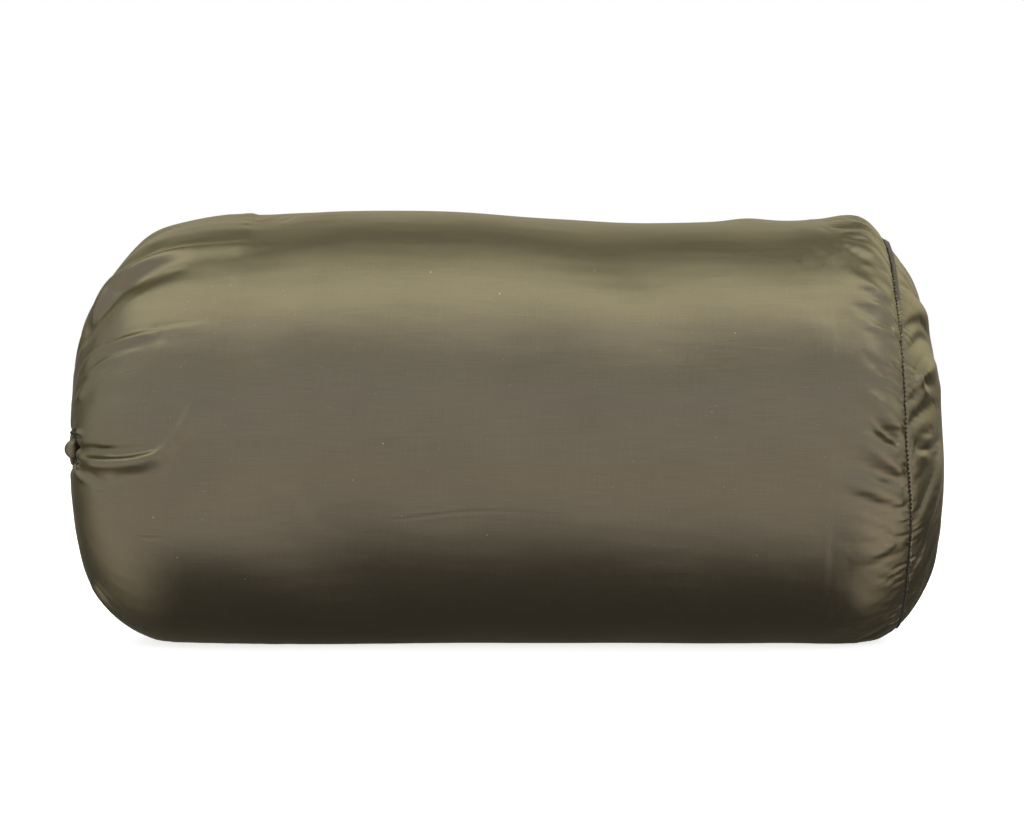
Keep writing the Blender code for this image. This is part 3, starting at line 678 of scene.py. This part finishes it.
# ---- materials ----
class Graph:
    """Short ways to add and join shader nodes."""

    def __init__(self, tree):
        self.tree = tree

    def feed(self, sockets, inputs):
        """Joins nodes' outputs to sockets, or sets plain values."""
        for key, value in dict(inputs).items():
            if isinstance(value, bpy.types.NodeSocket):
                self.tree.links.new(value, sockets[key])
            else:
                sockets[key].default_value = value

    def add(self, kind, inputs=(), **settings):
        node = self.tree.nodes.new("ShaderNode" + kind)
        for key, value in settings.items():
            setattr(node, key, value)
        self.feed(node.inputs, inputs)
        return node

    def maths(self, operation, a, b=0.0):
        return self.add("Math", {0: a, 1: b}, operation=operation).outputs[0]

    def times(self, a, b):
        return self.maths("MULTIPLY", a, b)

    def plus(self, a, b):
        return self.maths("ADD", a, b)

    def noise(self, vector, scale, detail=2.0):
        node = self.add("TexNoise", {"Vector": vector, "Scale": scale, "Detail": detail, "Roughness": 0.5})
        return node.outputs["Fac"]

    def stretched_noise(self, vector, along, around, detail=2.0):
        scaled = self.add("Mapping", {"Vector": vector, "Scale": (along, around, 1.0)})
        return self.noise(scaled.outputs[0], 1.0, detail)

    def span(self, value, low, high, to_low=0.0, to_high=1.0):
        inputs = {"Value": value, "From Min": low, "From Max": high, "To Min": to_low, "To Max": to_high}
        return self.add("MapRange", inputs).outputs[0]

    def mix(self, share, a, b):
        node = self.add("Mix", {}, data_type="RGBA")
        self.feed(node.inputs, {"Factor": share, "A": a, "B": b})
        return node.outputs["Result"]

    def shaded(self, colour, tone):
        return self.add("VectorMath", {0: colour, "Scale": tone}, operation="SCALE").outputs[0]

    def bumps(self, height, distance):
        return self.add("Bump", {"Height": height, "Strength": 0.30, "Distance": distance}).outputs[0]


def new_material(name):
    """A material, its graph and its shader's inputs."""
    material = bpy.data.materials.new(name)
    material.use_nodes = True
    return material, Graph(material.node_tree), material.node_tree.nodes["Principled BSDF"].inputs


def taffeta(name, warm, cool):
    """Shot taffeta: taupe seen straight on, greener at a slant, with a golden sheen, slubbed yarns and a few specks."""
    material, g, shader = new_material(name)
    place = g.add("Attribute", attribute_name="cloth_mm").outputs["Vector"]
    facing = g.add("LayerWeight", {"Blend": 0.5}).outputs["Facing"]
    colour = g.mix(g.span(facing, 0.08, 0.85), (*warm, 1), (*cool, 1))

    slubs_around = g.stretched_noise(place, 2.6, 0.06)
    slubs_along = g.stretched_noise(place, 0.05, 3.0)
    cloud = g.stretched_noise(place, 0.02, 0.02, 3.0)
    streaks = g.plus(g.times(slubs_around, 0.35), g.times(slubs_along, 0.65))
    colour = g.shaded(colour, g.times(g.span(streaks, 0.3, 0.7, 0.90, 1.10), g.span(cloud, 0.3, 0.7, 0.96, 1.04)))
    # Specks of lint: a few large pale ones, and more that are small and faint.
    for scale, channel, rarity, size, strength, tint in (
        (0.085, 0, 0.55, 0.024, 0.75, (0.45, 0.43, 0.36, 1)),
        (0.21, 1, 0.45, 0.05, 0.30, (0.40, 0.38, 0.32, 1)),
    ):
        cells = g.add("TexVoronoi", {"Vector": place, "Scale": scale}, feature="F1").outputs
        chance = g.add("SeparateColor", {"Color": cells["Color"]}).outputs[channel]
        speck = g.times(g.maths("LESS_THAN", cells["Distance"], size), g.maths("GREATER_THAN", chance, rarity))
        colour = g.mix(g.times(speck, strength), colour, tint)

    yarns = [
        g.add("TexWave", {"Vector": place, "Scale": scale, "Distortion": 1.2, "Detail": 1.0}, bands_direction=way)
        for scale, way in ((0.95, "X"), (1.05, "Y"))
    ]
    weave = g.plus(*(g.times(yarn.outputs["Fac"], 0.15) for yarn in yarns))
    height = g.plus(weave, g.times(streaks, 0.8))
    height = g.plus(height, g.times(g.stretched_noise(place, 0.20, 0.24), 0.5))
    g.feed(shader, {
        "Base Color": colour,
        "Normal": g.bumps(height, 0.0003),
        "Metallic": 0.9,
        "Roughness": g.span(streaks, 0.3, 0.7, 0.29, 0.35),
        "Specular IOR Level": 0.45,
        "Specular Tint": (1.0, 0.88, 0.62, 1),
        "Sheen Weight": 0.10,
        "Sheen Roughness": 0.35,
        "Sheen Tint": (0.85, 0.80, 0.66, 1),
    })
    return material


def simple(name, colour, roughness, metallic=0.0, grain=0.0):
    material, g, shader = new_material(name)
    g.feed(shader, {"Base Color": (*colour, 1), "Roughness": roughness, "Metallic": metallic})
    if grain:
        place = g.add("TexCoord").outputs["Object"]
        tone = g.span(g.noise(place, 900, 3.0), 0.3, 0.7, 1 - grain, 1 + grain)
        g.feed(shader, {"Base Color": g.shaded(colour, tone), "Normal": g.bumps(g.noise(place, 2500), 0.0002)})
    return material


# ---- the frame and its plain nodes ----
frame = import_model()

CLOTH = taffeta("sack_cloth", (0.116, 0.100, 0.073), (0.104, 0.095, 0.056))
THREAD = simple("dark_thread", (0.012, 0.011, 0.009), 0.65)
CORD = simple("olive_cord", (0.060, 0.056, 0.032), 0.72, grain=0.25)
PLASTIC = simple("black_plastic", (0.013, 0.013, 0.014), 0.42)
LOOKS = {"sack_cloth": CLOTH, "thread": THREAD, "cord": CORD, "black_plastic": PLASTIC}
for name, colour, roughness, metallic, grain in (
    ("binding_tape", (0.060, 0.055, 0.035), 0.8, 0.0, 0.2),
    ("bivy_laminate", (0.075, 0.070, 0.042), 0.55, 0.0, 0.1),
    ("coated_floor", (0.055, 0.058, 0.045), 0.45, 0.0, 0.0),
    ("insect_net", (0.012, 0.012, 0.012), 0.8, 0.0, 0.0),
    ("zip_tape", (0.060, 0.056, 0.036), 0.85, 0.0, 0.2),
    ("zip_nylon", (0.012, 0.012, 0.012), 0.35, 0.0, 0.0),
    ("zip_metal", (0.50, 0.50, 0.51), 0.32, 1.0, 0.0),
    ("spring_steel", (0.55, 0.55, 0.56), 0.25, 1.0, 0.0),
    ("webbing", (0.014, 0.014, 0.013), 0.8, 0.0, 0.3),
):
    LOOKS[name] = simple(name, colour, roughness, metallic, grain)
for entry in frame["record"]["subparts"]:
    node = frame["nodes"][entry["node"]]
    node.data.materials.clear()
    node.data.materials.append(LOOKS[entry["material_slot"]])

# ---- the cloth ----
grid, part, seam = cloth_rows()
folded = grid + grid_normals(grid) * large_folds(grid, part)[..., None]
folded[:, :, 2] = np.maximum(folded[:, :, 2], 0.0)
settled = settle(folded, part, seam)
# The middle of the base is stretched smooth.
for i in range(seam + 1, len(settled)):
    waviness = np.fft.rfft(settled[i], axis=0)
    waviness[3:] *= 1 - ease(0.45, 0.85, part[i, 1])
    settled[i] = np.fft.irfft(waviness, COLUMNS, axis=0)
# The cloth is divided most finely at the mouth and at the seam.
counts = [3 if i < 12 else 2 for i in range(len(settled) - 1)]
for i in range(seam - 6, seam + 5):
    counts[i] = 5 if abs(i - seam + 0.5) < 3 else 3
fine = finer(settled, counts, 4)
fine_turn = CIRCLE * np.arange(fine.shape[1]) / fine.shape[1]
seam = sum(counts[:seam])
fine = fine + grid_normals(fine) * small_folds(fine, fine_turn, seam)[..., None]
fine[:, :, 2] = np.maximum(fine[:, :, 2], 0.0)
lengths = distances(fine)
normals = grid_normals(fine)

# Both edges at the seam turn in, so no gap shows between sack and base.
GAP = 0.12
inward = unit(fine[seam].mean(0) - fine[seam])
sack_edge = [fine[seam] + inward * k + np.array([0.1 * k, 0, 0]) for k in (0.8, 2.6)]
base_edge = [fine[seam] + inward * k + np.array([0.1 * k + GAP, 0, 0]) for k in (2.6, 0.8)]
body_grid = np.concatenate([fine[: seam + 1], sack_edge])
base_grid = np.concatenate([base_edge, fine[seam:] + np.array([GAP, 0, 0])])
sack = cloth_object("stuff_sack_body", body_grid, np.append(lengths[: seam + 1], lengths[seam] + np.array([1, 3])))
base = cloth_object("stuff_sack_base", base_grid, np.append(lengths[seam] - np.array([3, 1]), lengths[seam:]), cap=True)
hand_over(sack, "sack", "sack_tube")
hand_over(base, "sack", "sack_base")


def cloth_point(row, turn, lift=0.0):
    """A point on the fine cloth at a row and turn (radians), lifted off it, and the normal there."""
    columns = fine.shape[1]
    j = (turn / CIRCLE * columns) % columns
    a, t = int(j), j - int(j)
    i, u = int(row), row - int(row)
    point, normal = 0.0, 0.0
    for di, wi in ((0, 1 - u), (1, u)):
        for dj, wj in ((0, 1 - t), (1, t)):
            at = min(i + di, len(fine) - 1), (a + dj) % columns
            point = point + fine[at] * wi * wj
            normal = normal + normals[at] * wi * wj
    normal = unit(normal)
    return point + normal * lift, normal


def stitched_row(row):
    """Where stitches go along a whole row of the cloth: places, directions, normals and shares of the way round."""
    places, forwards, shares = along_line(np.vstack([fine[row], fine[row][:1]]), PITCH)
    return places, forwards, np.array([cloth_point(row, share * CIRCLE)[1] for share in shares]), shares


# ---- the base seam's stitches ----
places, forwards, ups, _ = stitched_row(seam - 1)
base_stitches = stitches("base_seam_stitches", places + ups * 0.30, forwards, ups, PITCH * 0.56, 0.42, 0.9)
hand_over(base_stitches, "sack", "base_seam_stitching")

# ---- the lengthwise seam at the back: a folded strip with a row of stitches near each edge ----
SIDE_TURN = math.radians(196.9)
SIDE_START = -150.0
ROW_OFFSET = 3.0
first = int(np.argmin(np.abs(fine[:seam, int(SIDE_TURN / CIRCLE * fine.shape[1]), 0] - SIDE_START)))
rows_used = np.arange(first, seam - 3)
half_width = np.array([-4.6, -4.5, -4.0, -2.0, 0.0, 2.0, 4.0, 4.5, 4.6]) / RADIUS
rise = np.array([-0.2, 0.25, 0.5, 0.42, 0.5, 0.42, 0.5, 0.25, -0.2])
points = []
for row in rows_used:
    for angle, height in zip(half_width, rise):
        ripple = 0.10 * math.sin(row * 1.7 + 9 * angle * RADIUS)
        points.append(cloth_point(row, SIDE_TURN + angle, height + ripple)[0])
width = len(half_width)
faces = [
    (i * width + j + 1, i * width + j, (i + 1) * width + j, (i + 1) * width + j + 1)
    for i in range(len(rows_used) - 1)
    for j in range(width - 1)
]
fell = plain_mesh("side_seam_folded_strip", points, faces, CLOTH)
lay_flat(fell, [(lengths[row], (SIDE_TURN + angle) * RADIUS, 0.0) for row in rows_used for angle in half_width])
hand_over(fell, "sack", "side_seam_fell")
for across, side in ((ROW_OFFSET, "lower"), (-ROW_OFFSET, "upper")):
    turn = SIDE_TURN + across / RADIUS
    line = np.array([cloth_point(row, turn, 0.5)[0] for row in rows_used])
    places, forwards, shares = along_line(line, PITCH)
    ups = np.array([cloth_point(first + share * (len(rows_used) - 1), turn)[1] for share in shares])
    made = stitches(f"side_seam_stitches_{side}", places, forwards, ups, PITCH * 0.72, 0.20)
    hand_over(made, "sack", f"side_seam_thread_{side}")

# ---- the gathered mouth ----
MOUTH = np.array([-213.2, MOUTH_SHIFT[1], AXIS + MOUTH_SHIFT[2]])
OPEN = math.radians(16)           # half the gap where the cord comes out, on the +Y side


def ring_point(angle, radius, x):
    """A point round the mouth: angle 0 is towards +Y, 90 degrees up."""
    return MOUTH + np.array([x, radius * math.cos(angle), radius * math.sin(angle)])


def ruffle(steps, around):
    """The hem, gathered on its cord into a ring of puffs with deep creases between them."""
    edges = [0.0, 0.055, 0.12, 0.18, 0.255, 0.325, 0.385, 0.625, 0.675, 0.73, 0.80, 0.86, 0.93, 1.0]
    sizes = [0.9, 1.1, 0.8, 1.15, 0.8, 0.55, 1.8, 0.45, 0.8, 0.85, 1.05, 0.9, 1.0]
    rows = []
    for share in np.arange(steps + 1) / steps:
        angle = OPEN + (CIRCLE - 2 * OPEN) * share
        k = min(int(np.searchsorted(edges, share, side="right")) - 1, len(edges) - 2)
        t = (share - edges[k]) / (edges[k + 1] - edges[k])
        puff = math.sin(math.pi * t) ** 0.55
        from_front = angle - math.radians(181)
        front = math.exp(-((from_front / 0.42) ** 4))
        low = bump(angle, math.radians(262), 0.7)
        size = sizes[k] * (1 - 0.2 * low)
        r = 1.15 + 2.0 * puff * size
        middle = 6.9 + 0.9 * puff + 0.8 * front
        x = 3.2 - 0.6 * puff * size - 0.8 * front + 1.0 * low + 3.0 * bump(abs(from_front), 0.80, 0.26)
        row = []
        for j in range(around):
            a = CIRCLE * j / around
            inner = 1.0 if math.cos(a) > -0.2 else 0.85
            wrinkle = 1 + 0.05 * (1 - front) * math.sin(3 * a + 7 * share * 20)
            radius = middle + r * 1.15 * math.cos(a) * inner * wrinkle
            row.append(ring_point(angle, radius, x + r * 0.95 * math.sin(a) * wrinkle))
        rows.append(row)
    return np.array(rows)


count, around = 421, 22
puffs = ruffle(count - 1, around)
hem = plain_mesh("gathered_mouth_hem", puffs.reshape(-1, 3), grid_faces(count, around, reverse=True), CLOTH)
lay_flat(hem, [(j * 0.8, i * 1.5, 0.0) for i in range(count) for j in range(around)])
hand_over(hem, "sack", "mouth_casing")

# The stitches that close the hem, on the cloth just outside it, but for the back, where the cord comes out.
ring_row = int(np.argmin(np.abs(np.linalg.norm(fine[:60, 0, 1:] - MOUTH[1:], axis=1) - 12.6)))
places, forwards, ups, shares = stitched_row(ring_row)
used = np.abs(turned_by(shares * CIRCLE, 180)) > 0.35
hem_stitches = stitches("hem_stitches", places[used], forwards[used], ups[used], PITCH * 0.7, 0.2)
hand_over(hem_stitches, "sack", "casing_stitching")

# Cloth drawn inwards closes the mouth.
around = 160
plug = []
for r, x in ((9.2, 2.6), (7.5, 1.2), (5.8, 0.6), (4.2, 1.2), (2.8, 3.0), (1.6, 6.0), (0.8, 9.0)):
    for j in range(around):
        a = CIRCLE * j / around
        pleat = math.cos(11 * a + 0.8 * math.sin(2 * a)) + 0.4 * math.cos(23 * a)
        plug.append(ring_point(a, r * (1 + 0.10 * pleat), x + 0.5 * pleat))
count = len(plug) // around
inner = plain_mesh("gathered_mouth_centre", plug, grid_faces(count, around, reverse=True), CLOTH)
lay_flat(inner, [(i * 3.0, j * 1.2, 0.0) for i in range(count) for j in range(around)])
hand_over(inner, "sack")

# ---- the drawcord ----
LOCK = np.array([-209.4, -7.0, MOUTH[2]])
HOOD_LOCK = np.array([-169.0, 62.67, 126.62])
TAIL_LENGTH = 64.0
joints = {joint["name"]: joint for joint in frame["joints"]}
PIVOT = np.array(joints["cord_tail_swing"]["pos_m"]) * PER_METRE
SWING = np.array(joints["cord_tail_swing"]["axis"])
TANGENT = unit(np.cross(UP, SWING))
surface = BVHTree.FromObject(sack, bpy.context.evaluated_depsgraph_get())


def over_end(y, z, lift):
    """A point that stands off the mouth end's cloth by lift."""
    start = Vector((-0.4, y / PER_METRE, z / PER_METRE))
    hit, normal, _, _ = surface.ray_cast(start, Vector((1, 0, 0)))
    normal = np.array(normal)
    return np.array(hit) * PER_METRE + (normal if normal[0] < 0 else -normal) * lift


# Each end of the cord runs from the mouth through the lock, over the end's cloth to its rim, and hangs down.
ring = [ring_point(math.radians(a), 7.2, 0.3) for a in np.linspace(26, 334, 30)]
bottom = PIVOT - UP * TAIL_LENGTH
ends, falls = [], []
for side in (1, -1):
    z = MOUTH[2] + side * 1.5
    lead = [np.array([-214.6, -18.5, z + side * 1.2]), np.array([LOCK[0] - 0.4, -14.5, z])]
    lead += [np.array([LOCK[0], y, z]) for y in (-7.0, 8.0, 24.0)]
    rim = [
        over_end(y, z - sag, CORD_RADIUS + 0.3)
        for y, sag in ((58, 0.0), (64, 0.5), (70, 1.8), (75, 3.6), (79.5, 6.2))
    ]
    straight = [lead[-1] * (1 - t) + rim[0] * t - UP * 1.6 * side * (1 - t) for t in (0.35, 0.7)]
    top = PIVOT + TANGENT * side * 1.5
    drop = [
        PIVOT + TANGENT * side * (1.5 + 0.25 * math.sin(k / 60 * 5 + side)) - UP * k for k in (12, 24, 36, 48, 58)
    ]
    ends.append(lead + straight + rim[:1])
    falls.append(rim + [top + UP * 1.6 - TANGENT * 0.3, top] + drop + [bottom + TANGENT * side * 1.2])
cord = cord_mesh("drawcord_at_mouth", ends[0][::-1] + ring + ends[1], CORD_RADIUS)
hand_over(cord, "sack", "drawcord")

tail = cord_mesh("drawcord_tail_cords", falls[0] + [bottom - UP * 1.6] + falls[1][::-1], CORD_RADIUS)
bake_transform(tail)
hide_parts("drawcord_tail")

knot_path = []
for k in range(60):
    t = CIRCLE * k / 60
    knot = np.array([math.sin(t) + 2 * math.sin(2 * t), math.cos(t) - 2 * math.cos(2 * t), -math.sin(3 * t)])
    knot_path.append(bottom + TANGENT * knot[0] * 1.05 + SWING * knot[1] * 0.85 + UP * (knot[2] * 1.4 + 2.0))
hand_over(cord_mesh("drawcord_knot", knot_path + knot_path[:2], CORD_RADIUS * 0.92), "cord_tail")


# ---- the cord locks ----
def rounded(piece, width, segments):
    bevel = piece.modifiers.new("rounded", "BEVEL")
    bevel.width = width
    bevel.segments = segments
    return bevel


def lathe(name, profile, material, low, high):
    """A profile of (along, radius) turned round the local X axis, with a rounded box cut out of it."""
    shape = bmesh.new()
    verts = [shape.verts.new((x / PER_METRE, 0, r / PER_METRE)) for x, r in profile]
    edges = [shape.edges.new((a, b)) for a, b in zip(verts, verts[1:])]
    bmesh.ops.spin(shape, geom=verts + edges, axis=(1, 0, 0), cent=(0, 0, 0), steps=64, angle=CIRCLE)
    bmesh.ops.remove_doubles(shape, verts=shape.verts, dist=1e-6)
    bmesh.ops.recalc_face_normals(shape, faces=shape.faces)
    mesh = bpy.data.meshes.new(name)
    shape.to_mesh(mesh)
    shape.free()
    made = add_object(name, mesh, material)
    bpy.ops.mesh.primitive_cube_add(size=1)
    cutter = bpy.context.object
    cutter.scale = [(b - a) / PER_METRE for a, b in zip(low, high)]
    cutter.location = [(a + b) / 2 / PER_METRE for a, b in zip(low, high)]
    rounded(cutter, 0.0009, 4)
    cut = made.modifiers.new("cut", "BOOLEAN")
    cut.operation = "DIFFERENCE"
    cut.object = cutter
    bpy.context.view_layer.update()
    made.data = bpy.data.meshes.new_from_object(made.evaluated_get(bpy.context.evaluated_depsgraph_get()))
    made.modifiers.remove(cut)
    bpy.data.objects.remove(cutter)
    rounded(made, 0.00022, 2).angle_limit = math.radians(50)
    made.data.shade_smooth()
    made.data.set_sharp_from_angle(angle=math.radians(40))
    return made


def cord_lock(label, matrix):
    """A barrel lock: cords pass along local Z, the button moves along local X."""
    barrel_shape = [(-11.9, 0.01), (-11.9, 5.4), (-11.5, 6.3), (-10.9, 6.9), (-9.8, 7.0), (-9.2, 6.6), (-8.4, 6.55)]
    for k in range(4):
        x = -8.0 + k * 1.1
        barrel_shape += [(x, 6.55), (x + 0.25, 6.85), (x + 0.6, 6.85), (x + 0.85, 6.55)]
    barrel_shape += [
        (-3.6, 6.5), (3.6, 6.5), (4.2, 6.9), (5.4, 7.0), (6.2, 6.9), (6.5, 6.5), (6.5, 5.3),
        (-10.3, 5.25), (-10.3, 0.01),
    ]
    button_shape = [
        (-4.8, 0.01), (-4.8, 4.6), (-4.5, 4.9), (9.9, 4.9), (9.9, 5.9), (10.2, 6.25), (12.4, 6.3), (12.9, 6.0),
        (13.2, 5.3), (13.0, 4.6), (12.7, 4.2), (12.9, 3.7), (12.7, 3.1), (12.5, 2.7), (12.7, 2.2), (12.6, 1.4),
        (12.6, 0.01),
    ]
    half, press = 3.1, 3.0        # half the cord's window, and the button's travel
    barrel = lathe(f"{label}_barrel_shell", barrel_shape, PLASTIC, (-half, -1.75, -12), (half, 1.75, 12))
    button = lathe(f"{label}_button", button_shape, PLASTIC, (-half, -1.75, -12), (half + press, 1.75, 12))
    k = np.arange(85)
    coil = np.stack([-9.75 + 4.3 * k / 84, 3.6 * np.cos(CIRCLE * k / 20), 3.6 * np.sin(CIRCLE * k / 20)], 1)
    path, _ = smooth_path(coil, 240)
    side, up = frames_along(path)
    wire = [path + side * 0.36 * math.cos(a) + up * 0.36 * math.sin(a) for a in CIRCLE * np.arange(8) / 8]
    wire = np.stack(wire, 1).reshape(-1, 3)
    spring = plain_mesh(f"{label}_spring_coil", wire, tube_faces(len(path), 8), LOOKS["spring_steel"])
    for piece, body, node, slot in (
        (barrel, label, "barrel", "black_plastic"),
        (button, f"{label}_button", "plunger", "black_plastic"),
        (spring, label, "spring", "spring_steel"),
    ):
        piece.matrix_world = matrix
        hand_over(piece, body, f"{label}_{node}")
    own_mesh(spring)


for label, place in (("cord_lock", LOCK), ("hood_lock", HOOD_LOCK)):
    local_z = unit(np.array(joints[f"{label}_slide"]["axis"], float))
    local_x = -unit(np.array(joints[f"{label}_press"]["axis"], float))
    turned = Matrix(np.stack([local_x, np.cross(local_z, local_x), local_z], 1).tolist()).to_4x4()
    cord_lock(label, Matrix.Translation(Vector(place) / PER_METRE) @ turned)

# ---- the zip's pull: a thin plate with a slot ----
hinge = np.array(joints["zip_pull_flip"]["pos_m"]) * PER_METRE
points, faces = [], []
for left, right, side in ((-18.3, 2.6, 2.8), (-3.0, 1.3, 1.5)):
    for level in (-0.4, 0.4):
        corners = ((left, -side), (right, -side), (right, side), (left, side))
        points += [hinge + np.array([x, y, level]) for x, y in corners]
for a in range(4):
    b = (a + 1) % 4
    faces += [(4 + a, 4 + b, 12 + b, 12 + a), (b, a, 8 + a, 8 + b)]
    faces += [(a, b, 4 + b, 4 + a), (8 + b, 8 + a, 12 + a, 12 + b)]
pull = plain_mesh("zip_pull_plate", points, faces, LOOKS["zip_metal"], smooth=False)
rounded(pull, 0.00025, 3)
hand_over(pull, "zip_pull", "zip_pull")

# ---- light: a white room, one softbox overhead and, for the camera, plain white behind ----
scene = bpy.context.scene
scene.view_settings.view_transform = "Standard"
world = bpy.data.worlds.new("white_room")
scene.world = world
world.use_nodes = True
world.node_tree.nodes.clear()
g = Graph(world.node_tree)
direction = g.add("TexCoord").outputs["Generated"]
rightwards, backwards, upwards = g.add("SeparateXYZ", {0: direction}).outputs
elevation = g.maths("DIVIDE", g.maths("ARCSINE", upwards), math.pi / 2)
ramp = g.add("ValToRGB", {"Fac": g.span(elevation, -1, 1)})
stops = ramp.color_ramp.elements
while len(stops) > 1:
    stops.remove(stops[-1])
for degrees, level, warmth in (
    (-90, 0.03, 1.0), (-68, 0.05, 1.0), (-54, 0.8, 1.0), (-38, 1.3, 1.02), (-16, 1.2, 1.05), (0, 1.1, 1.02),
    (22, 1.4, 0.97), (40, 1.2, 0.98), (48, 0.35, 0.98), (62, 0.12, 1.0), (90, 0.10, 1.0),
):
    position = (degrees / 90 + 1) / 2
    stop = stops[0] if degrees == -90 else stops.new(position)
    stop.position = position
    stop.color = (level * warmth / 2, level / 2, level * (2 - warmth) / 2, 1)
# Behind, the room is dimmer, most of all low down. Low at both ends it is bright.
sideways = g.span(g.maths("ABSOLUTE", rightwards), 0.25, 0.50)
to_right = g.span(rightwards, 0.25, 0.50)
ahead = g.span(g.plus(backwards, g.times(to_right, 0.25)), 0.50, 0.25)
low = g.span(elevation, -0.15, 0.0, 1.0, 0.0)
raised_left = g.times(g.span(elevation, 0.16, 0.32, 0.0, 0.60), g.maths("SUBTRACT", 1.0, to_right))
raised_right = g.times(g.span(elevation, -0.02, 0.18), to_right)
behind = g.times(g.maths("SUBTRACT", 0.25, g.times(sideways, 0.12)), g.span(low, 0.0, 1.0, 1.0, 0.08))
behind = g.plus(behind, g.plus(raised_left, raised_right))
strength = g.plus(g.times(ahead, g.maths("SUBTRACT", 1.0, behind)), behind)
end_colour = g.mix(to_right, (0.70, 0.66, 0.62, 1), (0.94, 0.86, 0.77, 1))
colour = g.mix(g.times(g.times(sideways, ahead), low), ramp.outputs["Color"], end_colour)
room = g.add("Background", {"Color": colour, "Strength": g.times(strength, 2.0)}).outputs[0]
white = g.add("Background", {"Color": (1, 1, 1, 1), "Strength": 1.0}).outputs[0]
camera_ray = g.add("LightPath").outputs["Is Camera Ray"]
shown = g.add("MixShader", {0: camera_ray, 1: room, 2: white}).outputs[0]
g.add("OutputWorld", {"Surface": shown})

light = bpy.data.lights.new("overhead", "AREA")
light.shape = "RECTANGLE"
light.size, light.size_y = 3.2, 1.23
light.energy = 36.0
light.color = (1.0, 1.0, 0.86)
overhead = add_object("overhead", light)
overhead.location = (0.0, -0.355, 1.6)

# ---- floor: plain and pale, with a faint shadow; it throws no light back ----
size = 8.0
mesh = bpy.data.meshes.new("floor")
mesh.from_pydata([(-size, -size, 0), (size, -size, 0), (size, size, 0), (-size, size, 0)], [], [(0, 1, 2, 3)])
pale, g, shader = new_material("pale_floor")
g.feed(shader, {
    "Base Color": (0.8, 0.8, 0.8, 1),
    "Roughness": 1.0,
    "Specular IOR Level": 0.0,
    "Emission Color": (1, 1, 1, 1),
    "Emission Strength": 0.72,
})
floor = add_object("floor", mesh, pale)
floor.location.z = -0.0006        # just clear of the cloth that rests on it
floor.visible_diffuse = floor.visible_glossy = floor.visible_transmission = floor.visible_shadow = False

# ---- camera ----
DISTANCE = 1.8
HALF_VIEW = 0.2553                # half the width seen at that distance, in metres
lens = bpy.data.cameras.new("front")
lens.sensor_width = 36
lens.lens = lens.sensor_width / (2 * HALF_VIEW / DISTANCE)
camera = add_object("front", lens)
scene.camera = camera
tilt = math.radians(1.5)
aim = Vector((0.002, 0.0, 0.1125))
camera.location = aim + Vector((0, -math.cos(tilt), math.sin(tilt))) * DISTANCE
camera.rotation_euler = (math.radians(90) - tilt, 0, 0)

bpy.context.view_layer.update()
